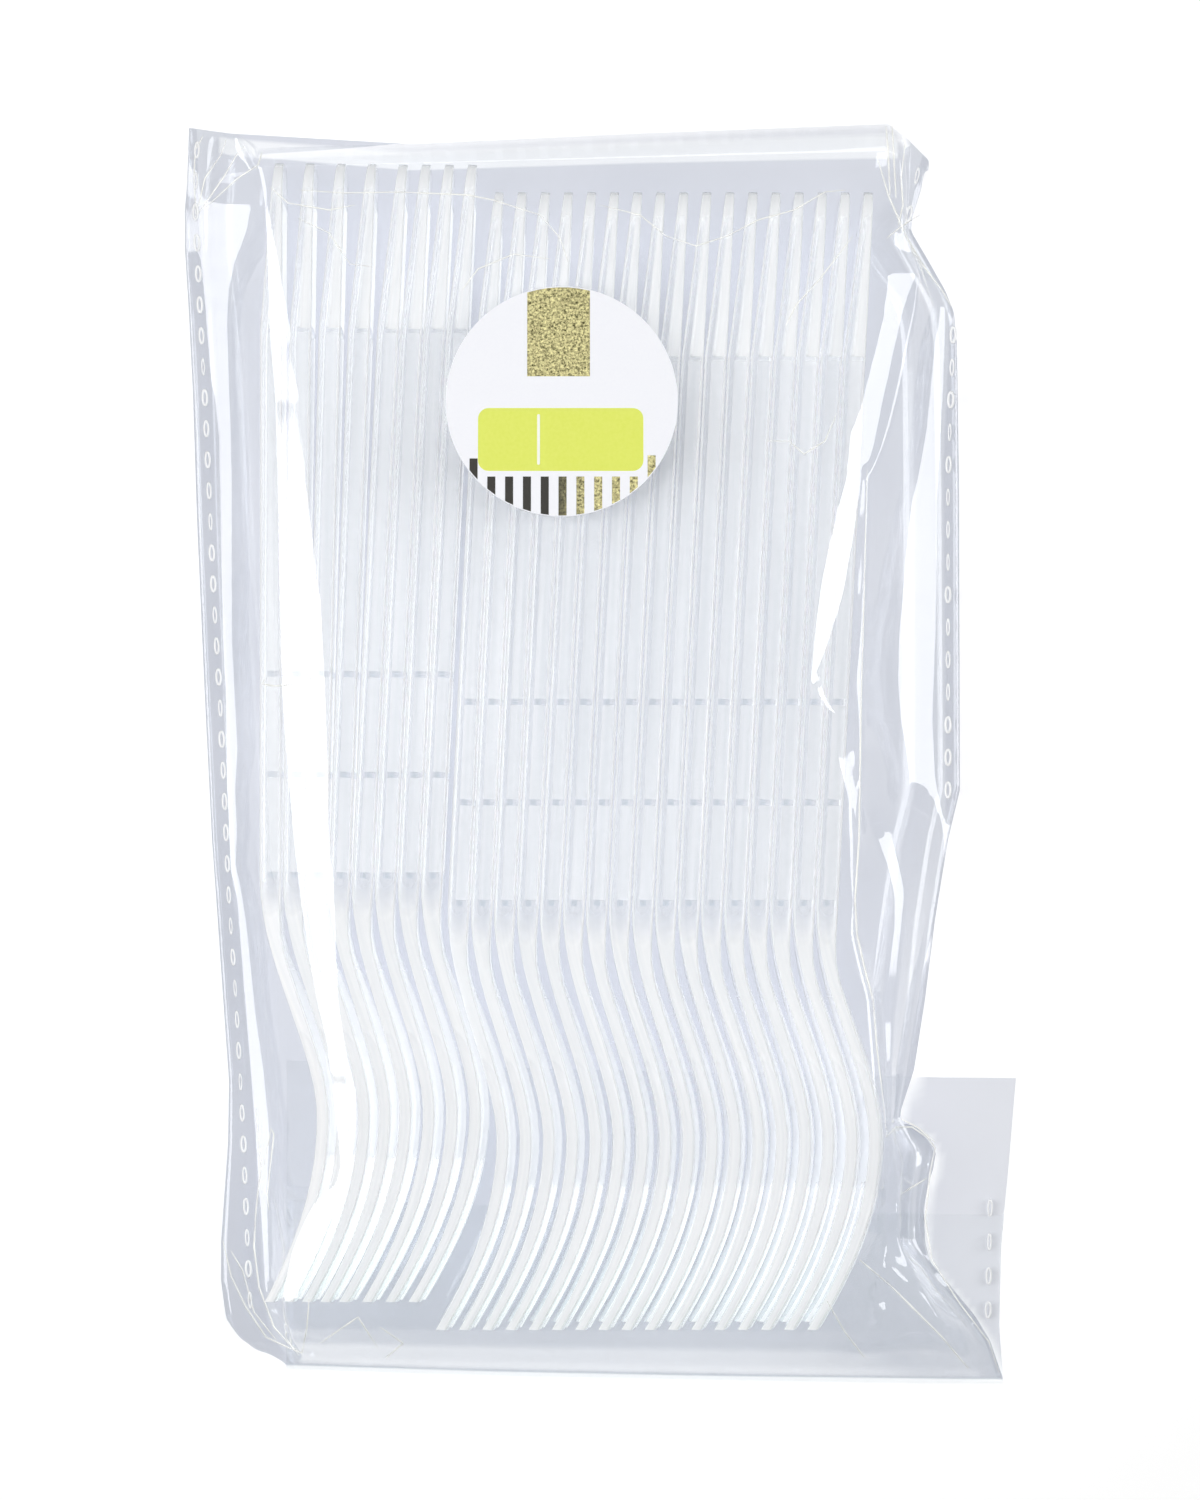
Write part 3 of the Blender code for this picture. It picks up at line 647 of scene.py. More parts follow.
creases = {
    "leftEdge": (
        (122, 189), (185, 187), (207, 185), (250, 185), (314, 189), (395, 193), (520, 197), (700, 205),
        (840, 212), (910, 217), (1011, 224), (1081, 229), (1143, 228), (1242, 221), (1281, 221), (1318, 226),
        (1344, 240), (1361, 256), (1366, 270), (1376, 286),
    ),
    "stripStart": (
        (122, 197), (200, 199), (225, 200), (300, 207), (380, 213.5), (400, 218), (440, 222), (640, 225),
        (700, 228), (785, 229), (830, 231), (868, 232), (900, 239), (1000, 247), (1070, 253), (1130, 258),
        (1200, 262), (1280, 266), (1344, 276), (1376, 294),
    ),
    "stripEnd": (
        (122, 236), (165, 254), (195, 260), (235, 250), (260, 238), (290, 231), (320, 229), (400, 231),
        (470, 233), (640, 233), (700, 236), (750, 239), (790, 236), (830, 238), (865, 236), (880, 240),
        (930, 248), (1010, 256), (1070, 265), (1130, 271), (1200, 268), (1280, 270), (1344, 284),
        (1376, 300),
    ),
    "bandStart": (
        (122, 254), (165, 258), (200, 264), (240, 266), (330, 268), (400, 273), (470, 275), (560, 276),
        (640, 277), (698, 279), (740, 282), (785, 286), (840, 291), (900, 298), (950, 306), (1000, 315),
        (1040, 325), (1100, 332), (1150, 338), (1165, 340), (1185, 335), (1200, 313), (1225, 300),
        (1250, 290), (1290, 281), (1344, 292), (1376, 306),
    ),
    "bandEnd": (
        (122, 258), (165, 262), (215, 270), (270, 281), (330, 291), (390, 300), (440, 305), (480, 308),
        (590, 318), (680, 323), (800, 326), (850, 327), (880, 331), (940, 333), (1000, 335), (1060, 345),
        (1090, 353), (1130, 353), (1160, 350), (1200, 337), (1245, 318), (1270, 306), (1296, 294),
        (1344, 302), (1376, 312),
    ),
    "vStart": (
        (122, 886), (190, 886), (245, 890), (290, 888), (320, 883), (345, 877), (370, 871), (395, 865),
        (430, 852), (480, 847), (510, 838), (550, 829), (590, 821), (640, 815), (680, 811), (710, 819),
        (750, 837), (800, 850), (840, 853), (935, 853), (970, 861), (1000, 869), (1050, 873), (1130, 880),
        (1150, 880), (1180, 874), (1220, 862), (1270, 846), (1310, 824), (1344, 815), (1376, 815),
    ),
    "vEnd": (
        (122, 897), (190, 903), (231, 903), (245, 909), (275, 916), (290, 909), (310, 903), (350, 893),
        (386, 885), (425, 877), (450, 872), (480, 862), (510, 856), (540, 852), (560, 848), (590, 843),
        (620, 835), (650, 825), (677, 814), (690, 817), (710, 830), (735, 842), (780, 857), (840, 857),
        (900, 856), (935, 857), (970, 865), (1000, 873), (1050, 877), (1130, 885), (1150, 885), (1180, 879),
        (1220, 867), (1270, 851), (1310, 829), (1344, 825), (1376, 840),
    ),
    "wallTop": (
        (122, 903), (190, 907), (231, 905), (275, 919), (310, 915), (386, 900), (425, 890), (450, 882),
        (480, 869), (600, 864), (700, 862), (780, 861), (800, 862), (840, 877), (870, 888), (897, 894),
        (925, 893), (960, 888), (1005, 882), (1050, 885), (1135, 889), (1180, 888), (1240, 885), (1300, 880),
        (1344, 890), (1376, 930),
    ),
    "facetStart": (
        (122, 911), (190, 909), (231, 906), (305, 940), (320, 938), (345, 934), (390, 929), (430, 925),
        (480, 916), (500, 910), (560, 903), (600, 900), (640, 896), (680, 895), (720, 898), (745, 903),
        (780, 908), (800, 899), (840, 893), (870, 901), (890, 905), (912, 904), (935, 902), (980, 898),
        (1020, 893), (1070, 891), (1135, 891), (1180, 897), (1242, 899), (1287, 920), (1340, 950),
        (1376, 980),
    ),
    "facetEnd": (
        (122, 916), (190, 911), (231, 907), (305, 945), (345, 944), (400, 942), (470, 938), (500, 936),
        (560, 936), (640, 934), (720, 931), (780, 934), (833, 943), (880, 937), (920, 929), (1000, 914),
        (1070, 904), (1119, 896), (1152, 916), (1200, 912), (1242, 911), (1287, 940), (1340, 980),
        (1376, 994),
    ),
    "finStart": (
        (122, 922), (190, 914), (231, 908), (305, 947), (345, 948), (400, 945), (470, 941), (700, 943),
        (833, 945), (880, 939), (920, 932), (1000, 917), (1070, 906), (1119, 898), (1152, 921), (1200, 915),
        (1242, 914), (1287, 943), (1340, 984), (1376, 997),
    ),
    "rightEdge": (
        (122, 929), (150, 928), (190, 921), (215, 913), (231, 911), (260, 928), (290, 945), (312, 954),
        (345, 957), (480, 959), (790, 960), (840, 948), (920, 935), (1000, 925), (1070, 914), (1110, 901),
        (1119, 900), (1127, 917), (1141, 932), (1152, 936), (1170, 933), (1185, 928), (1209, 924),
        (1242, 925), (1262, 930), (1287, 951), (1316, 975), (1340, 990), (1376, 1003),
    ),
    "topLine": (
        (186, 127), (245, 135), (262, 152), (320, 148), (700, 130), (890, 122), (910, 140), (929, 160),
    ),
    "bottomLine": ((221, 1362), (288, 1364), (429, 1369), (600, 1373), (900, 1378), (1003, 1378)),
    "flapEdge": ((1069, 1016), (1079, 1015), (1165, 1008), (1238, 1001), (1323, 999), (1378, 1003)),
}


def toWorld(px, py, z):
    # Point at height z that the camera sees at this place of the photograph.
    scale = photo["mmPerPixel"] * (camera["aimZ"] + camera["distance"] - z) / camera["distance"]
    x = camera["aimX"] + (px - photo["width"] / 2) * scale
    y = camera["aimY"] + (photo["height"] / 2 - py) * scale
    return [x, y, z]


filmSlope = (headFloor + fork["headWidth"] - floorZ - fork["handleWidth"]) / tiltRun
pivotZ = bag["slit"] + bag["innerTurn"]


def rowTop(y):
    run = min(max(topFold - pack["topRoom"] - fork["endRound"] - y, 0), tiltRun)
    return floorZ + fork["handleWidth"] + run * filmSlope + bag["lift"]


def floorHeight(y):
    flapEnd = bottomFold + bag["flap"] + 1
    lipEnd = flapEnd + bag["lip"]
    overFlap = pack["layer"] * (1 - min(max((y - flapEnd) / bag["ramp"], 0), 1))
    return overFlap + pack["layer"] * (1 - min(max((y - lipEnd) / bag["ramp"], 0), 1))


def spread(points, counts):
    # More points along one row, between its control points.
    fine = []
    for count, a, b in zip(counts, points, points[1:]):
        fine += [[a[k] + (b[k] - a[k]) * step / count for k in range(3)] for step in range(count)]
    return fine + [list(points[-1])]


def frontControls(line):
    # Place in the photograph and full height of the crease lines, at one row of the photograph.
    names = ("leftEdge", "stripStart", "stripEnd", "bandStart", "bandEnd")
    left = [along(creases[name], line) for name in names]
    names = ("vStart", "vEnd", "wallTop", "facetStart", "facetEnd", "finStart", "rightEdge")
    right = [along(creases[name], line) for name in names]
    top = rowTop(toWorld(0, line, camera["aimZ"])[1])
    weld = bag["weldHeight"] * top
    leftRise = bag["leftSlope"] * photo["mmPerPixel"]
    rightRise = bag["rightSlope"] * photo["mmPerPixel"]

    appears, goes = bag["edgeBright"]
    least, more = bag["edgeFoot"]
    edge = weld + least + more * fade(line, appears) * (1 - fade(line, goes))
    strip = leftRise * (left[2] - left[1]) * fade(line, bag["leftFacets"])
    band = leftRise * (left[4] - left[3])
    bow = max(band - bag["sink"], 0)
    leftZ = [weld, edge, edge + strip, top + bow - band, top + bow]

    begun = fade(line, bag["rightFacets"])
    vee = rightRise * (right[1] - right[0]) * begun
    veeBow = max(vee - bag["sink"], 0)
    facet = rightRise * (right[4] - right[3]) * begun
    ledge = rightRise * (right[3] - right[2]) * (1 - fade(line, bag["ledgeEnd"]))
    half = weld + (top - weld) * bag["sideShare"]
    foot = weld + bag["foot"]
    upperZ = [top + veeBow, top + veeBow - vee, top - bag["sink"], foot + facet, foot, foot, weld]
    lowerZ = [top - bag["lowerSink"], top - bag["sink"], half + ledge, half, foot + bag["foot"], foot, weld]
    lower = fade(line, bag["lowerPart"])
    rightZ = [a + (b - a) * lower for a, b in zip(upperZ, lowerZ)]

    middle = [left[-1] + (right[0] - left[-1]) * k / 4 for k in (1, 2, 3)]
    middleZ = [top + bag["sag"] * d for d in bag["sagShares"]]
    return left + middle + right, leftZ + middleZ + rightZ


def frontRow(line, rise, foldZ):
    pixels, heights = frontControls(line)
    half = bag["slit"] / 2
    lift = 1 - smooth((line - photo["topLine"]) / photo["earReach"])
    drop = 1 - smooth((photo["bottomLine"] - line) / photo["earReach"])
    points = []
    for px, z in zip(pixels, heights):
        z = foldZ + half + (z - foldZ - half) * rise
        py = line + (along(creases["topLine"], px) - photo["topLine"]) * lift
        py += (along(creases["bottomLine"], px) - photo["bottomLine"]) * drop
        points.append(toWorld(px, py, z))
    return spread(points, bag["frontColumns"])


def backRow(front, rise, foldZ):
    # Back wall under a front row: from the same edges down to the table.
    left, right = front[0], front[-1]
    half = bag["slit"] / 2
    floor = foldZ - half + (floorHeight(left[1]) - foldZ + half) * rise
    points = []
    for share, low in bag["backShares"]:
        x = left[0] + (right[0] - left[0]) * share
        y = float(np.interp(x, [p[0] for p in front], [p[1] for p in front]))
        points.append([x, y, floor if low else left[2] - 2 * half])
    return spread(points, bag["backColumns"])


def bagRows():
    fronts, backs = [], []
    scale = photo["mmPerPixel"]
    topReach, bottomReach = pack["topRoom"] / scale, pack["bottomRoom"] / scale
    first, last = photo["topLine"], photo["bottomLine"]
    lines = list(np.arange(first, first + topReach, bag["endStep"]))
    lines += list(np.arange(first + topReach, last - bottomReach, bag["rowStep"]))
    lines += list(np.arange(last - bottomReach, last + bag["endStep"] / 2, bag["endStep"]))
    for line in lines:
        rise = along(bag["topRise"], (line - first) / topReach)
        foldZ = bag["topFoldZ"]
        if line > last - bottomReach:
            rise = along(bag["bottomRise"], max(last - line, 0) / bottomReach)
            foldZ = pivotZ + bag["slit"] / 2
        front = frontRow(line, rise, foldZ)
        fronts.append(front)
        backs.append(backRow(front, rise, foldZ))
    return fronts, backs


def foldUnder(fronts, backs):
    # Both walls turn behind the pack, then the outer one runs on alone as the lip.
    front, back = np.array(fronts[-1]), np.array(backs[-1])
    for turn in range(bag["turnStep"], 181, bag["turnStep"]):
        dy, dz = -math.sin(math.radians(turn)), math.cos(math.radians(turn))
        for rows, base, radius in ((fronts, front, pivotZ), (backs, back, bag["innerTurn"])):
            turned = base.copy()
            turned[:, 1] = base[:, 1] + radius * dy
            turned[:, 2] = pivotZ + radius * dz
            rows.append(turned)
    whole = bag["flap"] + bag["lip"]
    leftX = front[0][0]
    for rows, reach in ((fronts, whole), (backs, bag["flap"])):
        base = np.array(rows[-1])
        across = (base[:, 0] - leftX) / (base[-1][0] - leftX)
        steps = round(reach / bag["flapStep"])
        for k in range(1, steps + 1):
            run = reach * k / steps
            moved = base.copy()
            line = photo["bottomLine"] - run / photo["mmPerPixel"]
            edge = toWorld(along(creases["flapEdge"], line), line, 0)[0]
            moved[:, 0] = leftX + across * (edge - leftX)
            moved[:, 1] = base[:, 1] + run - bag["flapSlant"] * across**2 * run / whole
            rows.append(moved)


def ridge(points, line, height, width):
    # Raises a narrow fold along a line of the photograph.
    middle = np.array([toWorld(px, py, bag["ridgeZ"])[:2] for px, py in line])
    plan = points[:, :, :2]
    best = np.full(points.shape[:2], np.inf)
    for a, b in zip(middle, middle[1:]):
        run = b - a
        part = np.clip(((plan - a) @ run) / (run @ run), 0, 1)
        away = np.linalg.norm(plan - a - part[:, :, None] * run, axis=2)
        best = np.minimum(best, away)
    points[:, :, 2] += height * np.exp(-(best / width) ** 2)


def crumple(points, centre, reach, height, size, seed):
    # Sharp small folds around one place: the distance to the nearest seam of a cell pattern.
    x, y = toWorld(*centre, camera["aimZ"])[:2]
    for line in points:
        for point in line:
            away = math.hypot((point[0] - x) / reach[0], (point[1] - y) / reach[1])
            if away < 1:
                place = Vector((point[0] / size, point[1] / size, seed))
                step = noise.voronoi(place)[0]
                point[2] += height * (1 - away**2) * (step[1] - step[0] - 0.4)


def soften(points):
    # Rounds the folds a little; the outline stays.
    inner = points[1:-1, 1:-1]
    around = points[:-2, 1:-1] + points[2:, 1:-1] + points[1:-1, :-2] + points[1:-1, 2:]
    points[1:-1, 1:-1] = inner * 0.5 + around * 0.125
    return points


def ripple(face):
    # Slow waves of a film that is drawn over the row.
    rows, columns, _ = face.shape
    fades = [np.clip(np.minimum(np.arange(count), np.arange(count)[::-1]) / reach, 0, 1)
             for count, reach in zip((rows, columns), bag["rippleHold"])]
    hold = fades[0][:, None] * fades[1][None, :]
    for r in range(rows):
        for c in range(columns):
            x, y, _ = face[r, c]
            wave = sum(part * noise.noise(Vector((x / across, y / down, which)))
                       for across, down, which, part in bag["rippleWaves"])
            face[r, c, 2] += bag["ripple"] * wave * hold[r, c]


def makeBag():
    fronts, backs = bagRows()
    body = len(fronts)
    foldUnder(fronts, backs)
    front, back = np.array(fronts), np.array(backs)
    face = front[:body]
    soften(face)
    for line, height, width in bag["wrinkles"]:
        ridge(face, line, height, width)
    for place in bag["crumples"]:
        crumple(face, *place)
    ripple(face)
    return front, soften(back), body


def gridFaces(first, rows, columns, flip):
    faces = []
    for r in range(rows - 1):
        for c in range(columns - 1):
            a = first + r * columns + c
            quad = (a, a + columns, a + columns + 1, a + 1)
            faces.append(quad[::-1] if flip else quad)
    return faces


def bagMesh(front, back):
    rowsFront, columns, _ = front.shape
    rowsBack, backColumns, _ = back.shape
    base = rowsFront * columns
    points = np.vstack((front.reshape(-1, 3), back.reshape(-1, 3))) * mm
    faces = gridFaces(0, rowsFront, columns, False) + gridFaces(base, rowsBack, backColumns, True)
    for c, under in ((0, 0), (columns - 1, backColumns - 1)):
        for r in range(rowsBack - 1):
            a, b = r * columns + c, base + r * backColumns + under
            quad = (a, b, b + backColumns, a + columns)
            faces.append(quad if c == 0 else quad[::-1])
    mesh = bpy.data.meshes.new("filmBag")
    mesh.from_pydata(points.tolist(), [], faces)
    tone = mesh.attributes.new("tone", "FLOAT", "POINT")
    tone.data.foreach_set("value", np.concatenate((frontTone(front), backTone(back))).astype(np.float32))
    mesh.shade_smooth()
    return mesh


def frontTone(front):
    # How grey the film is: the front is clear; the lip, where nothing lies over it, is nearly like the back.
    tone = np.zeros(front.shape[:2])
    tone[:bodyRows, :bag["frontColumns"][0]] = film["finTone"]
    tone[:bodyRows, -bag["frontColumns"][-1]:] = film["finTone"]
    for number, beyond in enumerate(front[bodyRows:], bodyRows):
        line = photo["height"] / 2 - (beyond[0, 1] - camera["aimY"]) / photo["mmPerPixel"]
        shows = toWorld(along(creases["rightEdge"], line), line, 0)[0]
        tone[number] = np.clip((beyond[:, 0] - shows) / film["lipBlend"], 0, film["lipTone"])
    return tone.ravel()


def backTone(back):
    tone = np.ones(back.shape[:2])
    # painted highlight: the back wall is paler in a band under the top fold
    first, last = film["paintedHighlightRows"]
    tone[first:last, film["paintedHighlightInset"]:-film["paintedHighlightInset"]] = film["paintedHighlightTone"]
    tone[bodyRows:] = 0
    return tone.ravel()


def makeFilmMaterial():
    # Cast polypropylene film, heat-sealed: clear and glossy, greyer where its walls lie together; a paler
    # band under the top fold is a painted highlight.
    made, tree = newMaterial("castPolypropyleneFilm")
    tone = addNode(tree, "ShaderNodeAttribute", {"attribute_name": "tone"}).outputs["Fac"]
    grey = mottled(tree, film["cloud"], film["grey"], {"Detail": 0.0})[1]
    colour = addNode(tree, "ShaderNodeMix", {"data_type": "RGBA"}, {
        "Factor": tone, "A": linear(film["clear"]), "B": grey})
    finishMaterial(tree, throughShadow(tree, clearSheet(tree, colour, film), film["shadow"]))
    return made


frontWall, backWall, bodyRows = makeBag()
filmBag = linkObject("filmBag", bagMesh(frontWall, backWall))
filmBag.data.materials.append(makeFilmMaterial())
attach(filmBag, "root")
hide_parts("film_bag")
print("bag:", len(filmBag.data.polygons), "faces")


# Weld marks: a row of small pressed loops along each side seam

seams = {
    "pitch": 4.95,
    "length": 2.5,
    "width": 0.75,
    "widths": (0.45, 1.1),  # share of the width, at random
    "wire": 0.2,
    "wireSides": 6,
    "loopSides": 20,
    "flat": 0.5,
    "lift": 0.1,
    "flapZ": 0.85,
    "blush": ("F6F8FA", "FFFFFF"),
    "patch": 2.0,
    "lines": (
        ((197, 150), (195, 200), (199, 290), (205, 400), (214, 600), (220, 700), (229, 900), (236, 1000),
         (243, 1130), (248, 1260), (250, 1300)),
        ((917, 176), (909, 214)),
        ((953, 335), (948, 480), (948, 790)),
    ),
    "flapLine": ((990, 1208), (988, 1310)),
    "seed": 11,
}


def onFilm(px, py, z=None):
    # Place on the front film that the camera sees there, or at the height given.
    if z is not None:
        return Vector(toWorld(px, py, z))
    walls = frontWall[:bodyRows].reshape(-1, 3)
    z = camera["aimZ"]
    for _ in range(3):
        x, y, _ = toWorld(px, py, z)
        away = (walls[:, 0] - x) ** 2 + (walls[:, 1] - y) ** 2
        near = np.argpartition(away, 4)[:4]
        weights = 1 / (away[near] + 0.01)
        z = float((walls[near, 2] * weights).sum() / weights.sum())
    return Vector(toWorld(px, py, z))


def lineMesh(name, lines, lift, z=None, radius=None):
    # Lines of the photograph laid on the film, thin at both ends where they have a radius.
    points, edges, radii = [], [], []
    for line in lines:
        start = len(points)
        cut = max(2, round(12 / len(line)))
        for (ax, ay), (bx, by) in zip(line, line[1:]):
            points += [onFilm(ax + (bx - ax) * k / cut, ay + (by - ay) * k / cut, z) for k in range(cut)]
        points.append(onFilm(*line[-1], z))
        count = len(points) - start
        edges += [(k, k + 1) for k in range(start, len(points) - 1)]
        radii += [math.sin(math.pi * (k + 0.6) / (count + 0.2)) ** 0.5 for k in range(count)]
    mesh = bpy.data.meshes.new(name)
    mesh.from_pydata([(p + Vector((0, 0, lift))) * mm for p in points], edges, [])
    if radius:
        mesh.attributes.new("taper", "FLOAT", "POINT").data.foreach_set("value", radii)
    return linkObject(name, mesh)


def makeSealMaterial():
    # Heat-seal marks pressed into the film: the same film, blushed white.
    made, tree = newMaterial("heatSealedFilm")
    tone = mottled(tree, seams["patch"], seams["blush"])[1]
    shader = addNode(tree, "ShaderNodeBsdfPrincipled", inputs={
        "Base Color": tone, "Roughness": 0.3, "Alpha": 0.9})
    finishMaterial(tree, shader)
    return made


def makeSeamTree(material):
    # Node group that sets a loop at every step along the seam lines.
    narrow, wide = seams["widths"]
    tree, given, sockets = openGroup("weldMarks", (
        ("Lines", "Object", None),
        ("Pitch", "Float", seams["pitch"] * mm),
        ("Length", "Float", seams["length"] * mm),
        ("Width", "Float", seams["width"] * mm),
        ("Narrowest", "Float", narrow),
        ("Widest", "Float", wide),
        ("Wire", "Float", seams["wire"] * mm),
        ("Flat", "Float", seams["flat"]),
        ("Seed", "Int", seams["seed"]),
    ))
    source = addNode(tree, "GeometryNodeObjectInfo", inputs={"Object": given["Lines"]})
    curve = addNode(tree, "GeometryNodeMeshToCurve", inputs={"Mesh": source.outputs["Geometry"]})
    points = addNode(tree, "GeometryNodeCurveToPoints", {"mode": "LENGTH"}, {
        "Curve": curve, "Length": given["Pitch"]})
    ring = addNode(tree, "GeometryNodeCurvePrimitiveCircle", {"mode": "RADIUS"}, {
        "Resolution": seams["loopSides"], "Radius": 0.5})
    size = addNode(tree, "ShaderNodeCombineXYZ", inputs={
        "X": given["Length"], "Y": given["Width"], "Z": 1.0})
    loop = addNode(tree, "GeometryNodeTransform", inputs={"Geometry": ring, "Scale": size})
    wire = addNode(tree, "GeometryNodeCurvePrimitiveCircle", {"mode": "RADIUS"}, {
        "Resolution": seams["wireSides"], "Radius": given["Wire"]})
    tube = addNode(tree, "GeometryNodeCurveToMesh", inputs={"Curve": loop, "Profile Curve": wire})
    turn = addNode(tree, "FunctionNodeAlignRotationToVector", {"axis": "X"}, {
        "Vector": points.outputs["Tangent"]})
    share = addNode(tree, "FunctionNodeRandomValue", {"data_type": "FLOAT"}, {
        2: given["Narrowest"], 3: given["Widest"], "Seed": given["Seed"]})
    scale = addNode(tree, "ShaderNodeCombineXYZ", inputs={"X": 1.0, "Y": share, "Z": given["Flat"]})
    copies = addNode(tree, "GeometryNodeInstanceOnPoints", inputs={
        "Points": points.outputs["Points"], "Instance": tube, "Rotation": turn,
        "Scale": scale})
    closeGroup(tree, copies, material)
    return tree, sockets["Lines"]


seamTree, seamSocket = makeSeamTree(makeSealMaterial())
for name, lines, z in (
        ("weldMarks", seams["lines"], None), ("flapMarks", (seams["flapLine"],), seams["flapZ"])):
    seamLines = lineMesh("seamLines", lines, seams["lift"], z)
    marks = runNodes(name, seamTree, {seamSocket: seamLines})
    bpy.data.meshes.remove(seamLines.data)
    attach(marks, "root")
    print(name, len(marks.data.polygons), "faces")


# Fine crease lines: thin white lines along folds of the film

fineCreases = {
    "lift": 0.03,
    "sides": 6,
    "patch": 6.25,  # size of the milky patches
    "whiteShare": (0.25, 0.75),
    "clear": "FDFDFD",
    "white": "FDFDF8",
    "fine": {
        "radius": 0.13,
        "lines": (
            ((203, 136), (200, 142), (195, 150), (194, 180), (196, 215)),
            ((244, 146), (236, 156), (225, 175), (210, 197), (197, 215)),
            ((226, 140), (221, 155), (205, 178), (197, 212)),
            ((262, 152), (258, 165), (238, 178), (205, 208)),
            ((299, 190), (345, 193), (400, 192), (468, 195), (493, 200), (540, 215), (560, 238), (568, 262)),
            ((270, 187), (288, 203), (329, 210), (355, 205)),
            ((298, 218), (329, 233), (350, 264), (373, 267)),
            ((462, 290), (478, 269), (514, 254), (550, 259)),
            ((600, 205), (640, 215), (666, 236), (696, 246), (727, 236), (758, 220), (794, 210), (825, 192),
             (845, 190)),
            ((853, 236), (819, 280), (796, 305), (786, 325)),
            ((766, 441), (789, 441), (804, 454), (825, 441), (837, 413)),
            ((887, 238), (898, 229), (908, 222), (920, 215)),
            ((905, 145), (901, 178), (903, 205), (898, 226)),
            ((264, 1165), (271, 1129), (274, 1134), (267, 1195), (269, 1210)),
            ((231, 1251), (243, 1271), (254, 1312), (276, 1340)),
            ((309, 1299), (307, 1327), (302, 1353)),
            ((320, 1343), (358, 1317), (378, 1348)),
            ((380, 1327), (403, 1343), (386, 1358)),
            ((901, 1119), (917, 1127), (935, 1142)),
            ((901, 1194), (927, 1178)),
            ((827, 1301), (845, 1332), (865, 1358)),
            ((266, 678), (262, 684), (275, 686), (300, 684)),
        ),
    },
    "bold": {
        "radius": 0.16,
        "lines": (
            ((886, 126), (888, 150), (890, 195)),
            ((892, 124), (894, 160), (896, 198)),
            ((878, 160), (889, 197), (907, 238), (922, 264), (942, 290), (951, 306)),
            bag["wrinkles"][0][0],
            ((256, 1109), (261, 1165), (256, 1210), (254, 1246), (259, 1287), (274, 1327), (299, 1355)),
            ((223, 1241), (231, 1276), (246, 1307), (266, 1337), (289, 1348), (302, 1353)),
            ((886, 1137), (896, 1127), (912, 1127), (927, 1137), (935, 1148), (930, 1173), (925, 1219),
             (932, 1260), (958, 1301), (989, 1342), (999, 1373)),
            ((860, 1260), (891, 1286), (912, 1307), (942, 1337), (968, 1368)),
        ),
    },
}


def makeCreaseMaterial():
    # White lines along the folds: the same film, milky and still half clear.
    made, tree = newMaterial("whiteFoldLineFilm")
    place = addNode(tree, "ShaderNodeTexCoord").outputs["Object"]
    patch = addNode(tree, "ShaderNodeTexNoise", inputs={
        "Vector": place, "Scale": 1 / (fineCreases["patch"] * mm)})
    least, most = fineCreases["whiteShare"]
    strength = addNode(tree, "ShaderNodeMapRange", inputs={
        "Value": patch, "From Min": 0.3, "From Max": 0.7, "To Min": least, "To Max": most})
    clear = addNode(tree, "ShaderNodeBsdfTransparent", inputs={"Color": linear(fineCreases["clear"])})
    white = addNode(tree, "ShaderNodeBsdfDiffuse", inputs={"Color": linear(fineCreases["white"])})
    mixed = addNode(tree, "ShaderNodeMixShader", inputs={
        0: strength, 1: clear, 2: white})
    finishMaterial(tree, throughShadow(tree, mixed, fineCreases["clear"]))
    return made


def makeCreaseTree(material):
    # Node group that gives each line its round thickness.
    tree, given, sockets = openGroup("creaseLines", (
        ("Lines", "Object", None),
        ("Sides", "Int", fineCreases["sides"]),
        ("Radius", "Float", None),
    ))
    source = addNode(tree, "GeometryNodeObjectInfo", inputs={"Object": given["Lines"]})
    curve = addNode(tree, "GeometryNodeMeshToCurve", inputs={"Mesh": source.outputs["Geometry"]})
    ring = addNode(tree, "GeometryNodeCurvePrimitiveCircle", {"mode": "RADIUS"}, {
        "Resolution": given["Sides"], "Radius": given["Radius"]})
    taper = addNode(tree, "GeometryNodeInputNamedAttribute", {"data_type": "FLOAT"}, {"Name": "taper"})
    tube = addNode(tree, "GeometryNodeCurveToMesh", inputs={
        "Curve": curve, "Profile Curve": ring, "Scale": taper, "Fill Caps": True})
    closeGroup(tree, tube, material)
    return tree, sockets


creaseTree, creaseSockets = makeCreaseTree(makeCreaseMaterial())
for name in ("fine", "bold"):
    kind = fineCreases[name]
    creaseLines = lineMesh("creaseLines", kind["lines"], fineCreases["lift"], None, kind["radius"])
    drawn = runNodes(name + "CreaseLines", creaseTree, {
        creaseSockets["Lines"]: creaseLines, creaseSockets["Radius"]: kind["radius"] * mm})
    bpy.data.meshes.remove(creaseLines.data)
    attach(drawn, "root")
    print(name, "crease lines:", len(drawn.data.polygons), "faces")


# Round label

label = {
    "diameter": 37.0,
    "centre": (-6.1, 56.0),
    "thickness": 0.12,
    "ink": 0.02,
    "lift": 0.35,
    "rimSides": 128,
    "margin": 0.15,  # from the print to the rim
    "block": (-5.5, 4.5, 4.0),  # left, right and lower edge
    "panel": (-13.3, 13.0, -11.2, -1.1, 1.7),  # left, right, low, high, corner radius
    "rule": (-3.9, -3.45, -10.2, -2.1, 0.2),
    "bars": {
        "count": 11,
        "first": -14.0,
        "pitch": 2.83,
        "width": 1.28,
        "top": -12.1,
        "outerTop": (-9.2, -8.7),
    },
    "paper": ("F3F4FA", "F8F9FD"),
    "fibre": 0.4,
    "paperShadow": "D8D8D8",
    "foil": ("2A2610", "CFC893"),
    "foilGrain": 0.3846,  # drawn coarse enough to show
    # painted dark reflection on the left of the lower bars
    "paintedReflectionDark": "33322F",
    "paintedReflectionFrom": -2.0,  # from the label's centre
    "paintedReflectionTo": 5.0,
    "lime": ("DCE658", "E4EC70"),
    "white": ("F4F6E8", "FBFCF4"),
    "inkGrain": 0.5556,
}


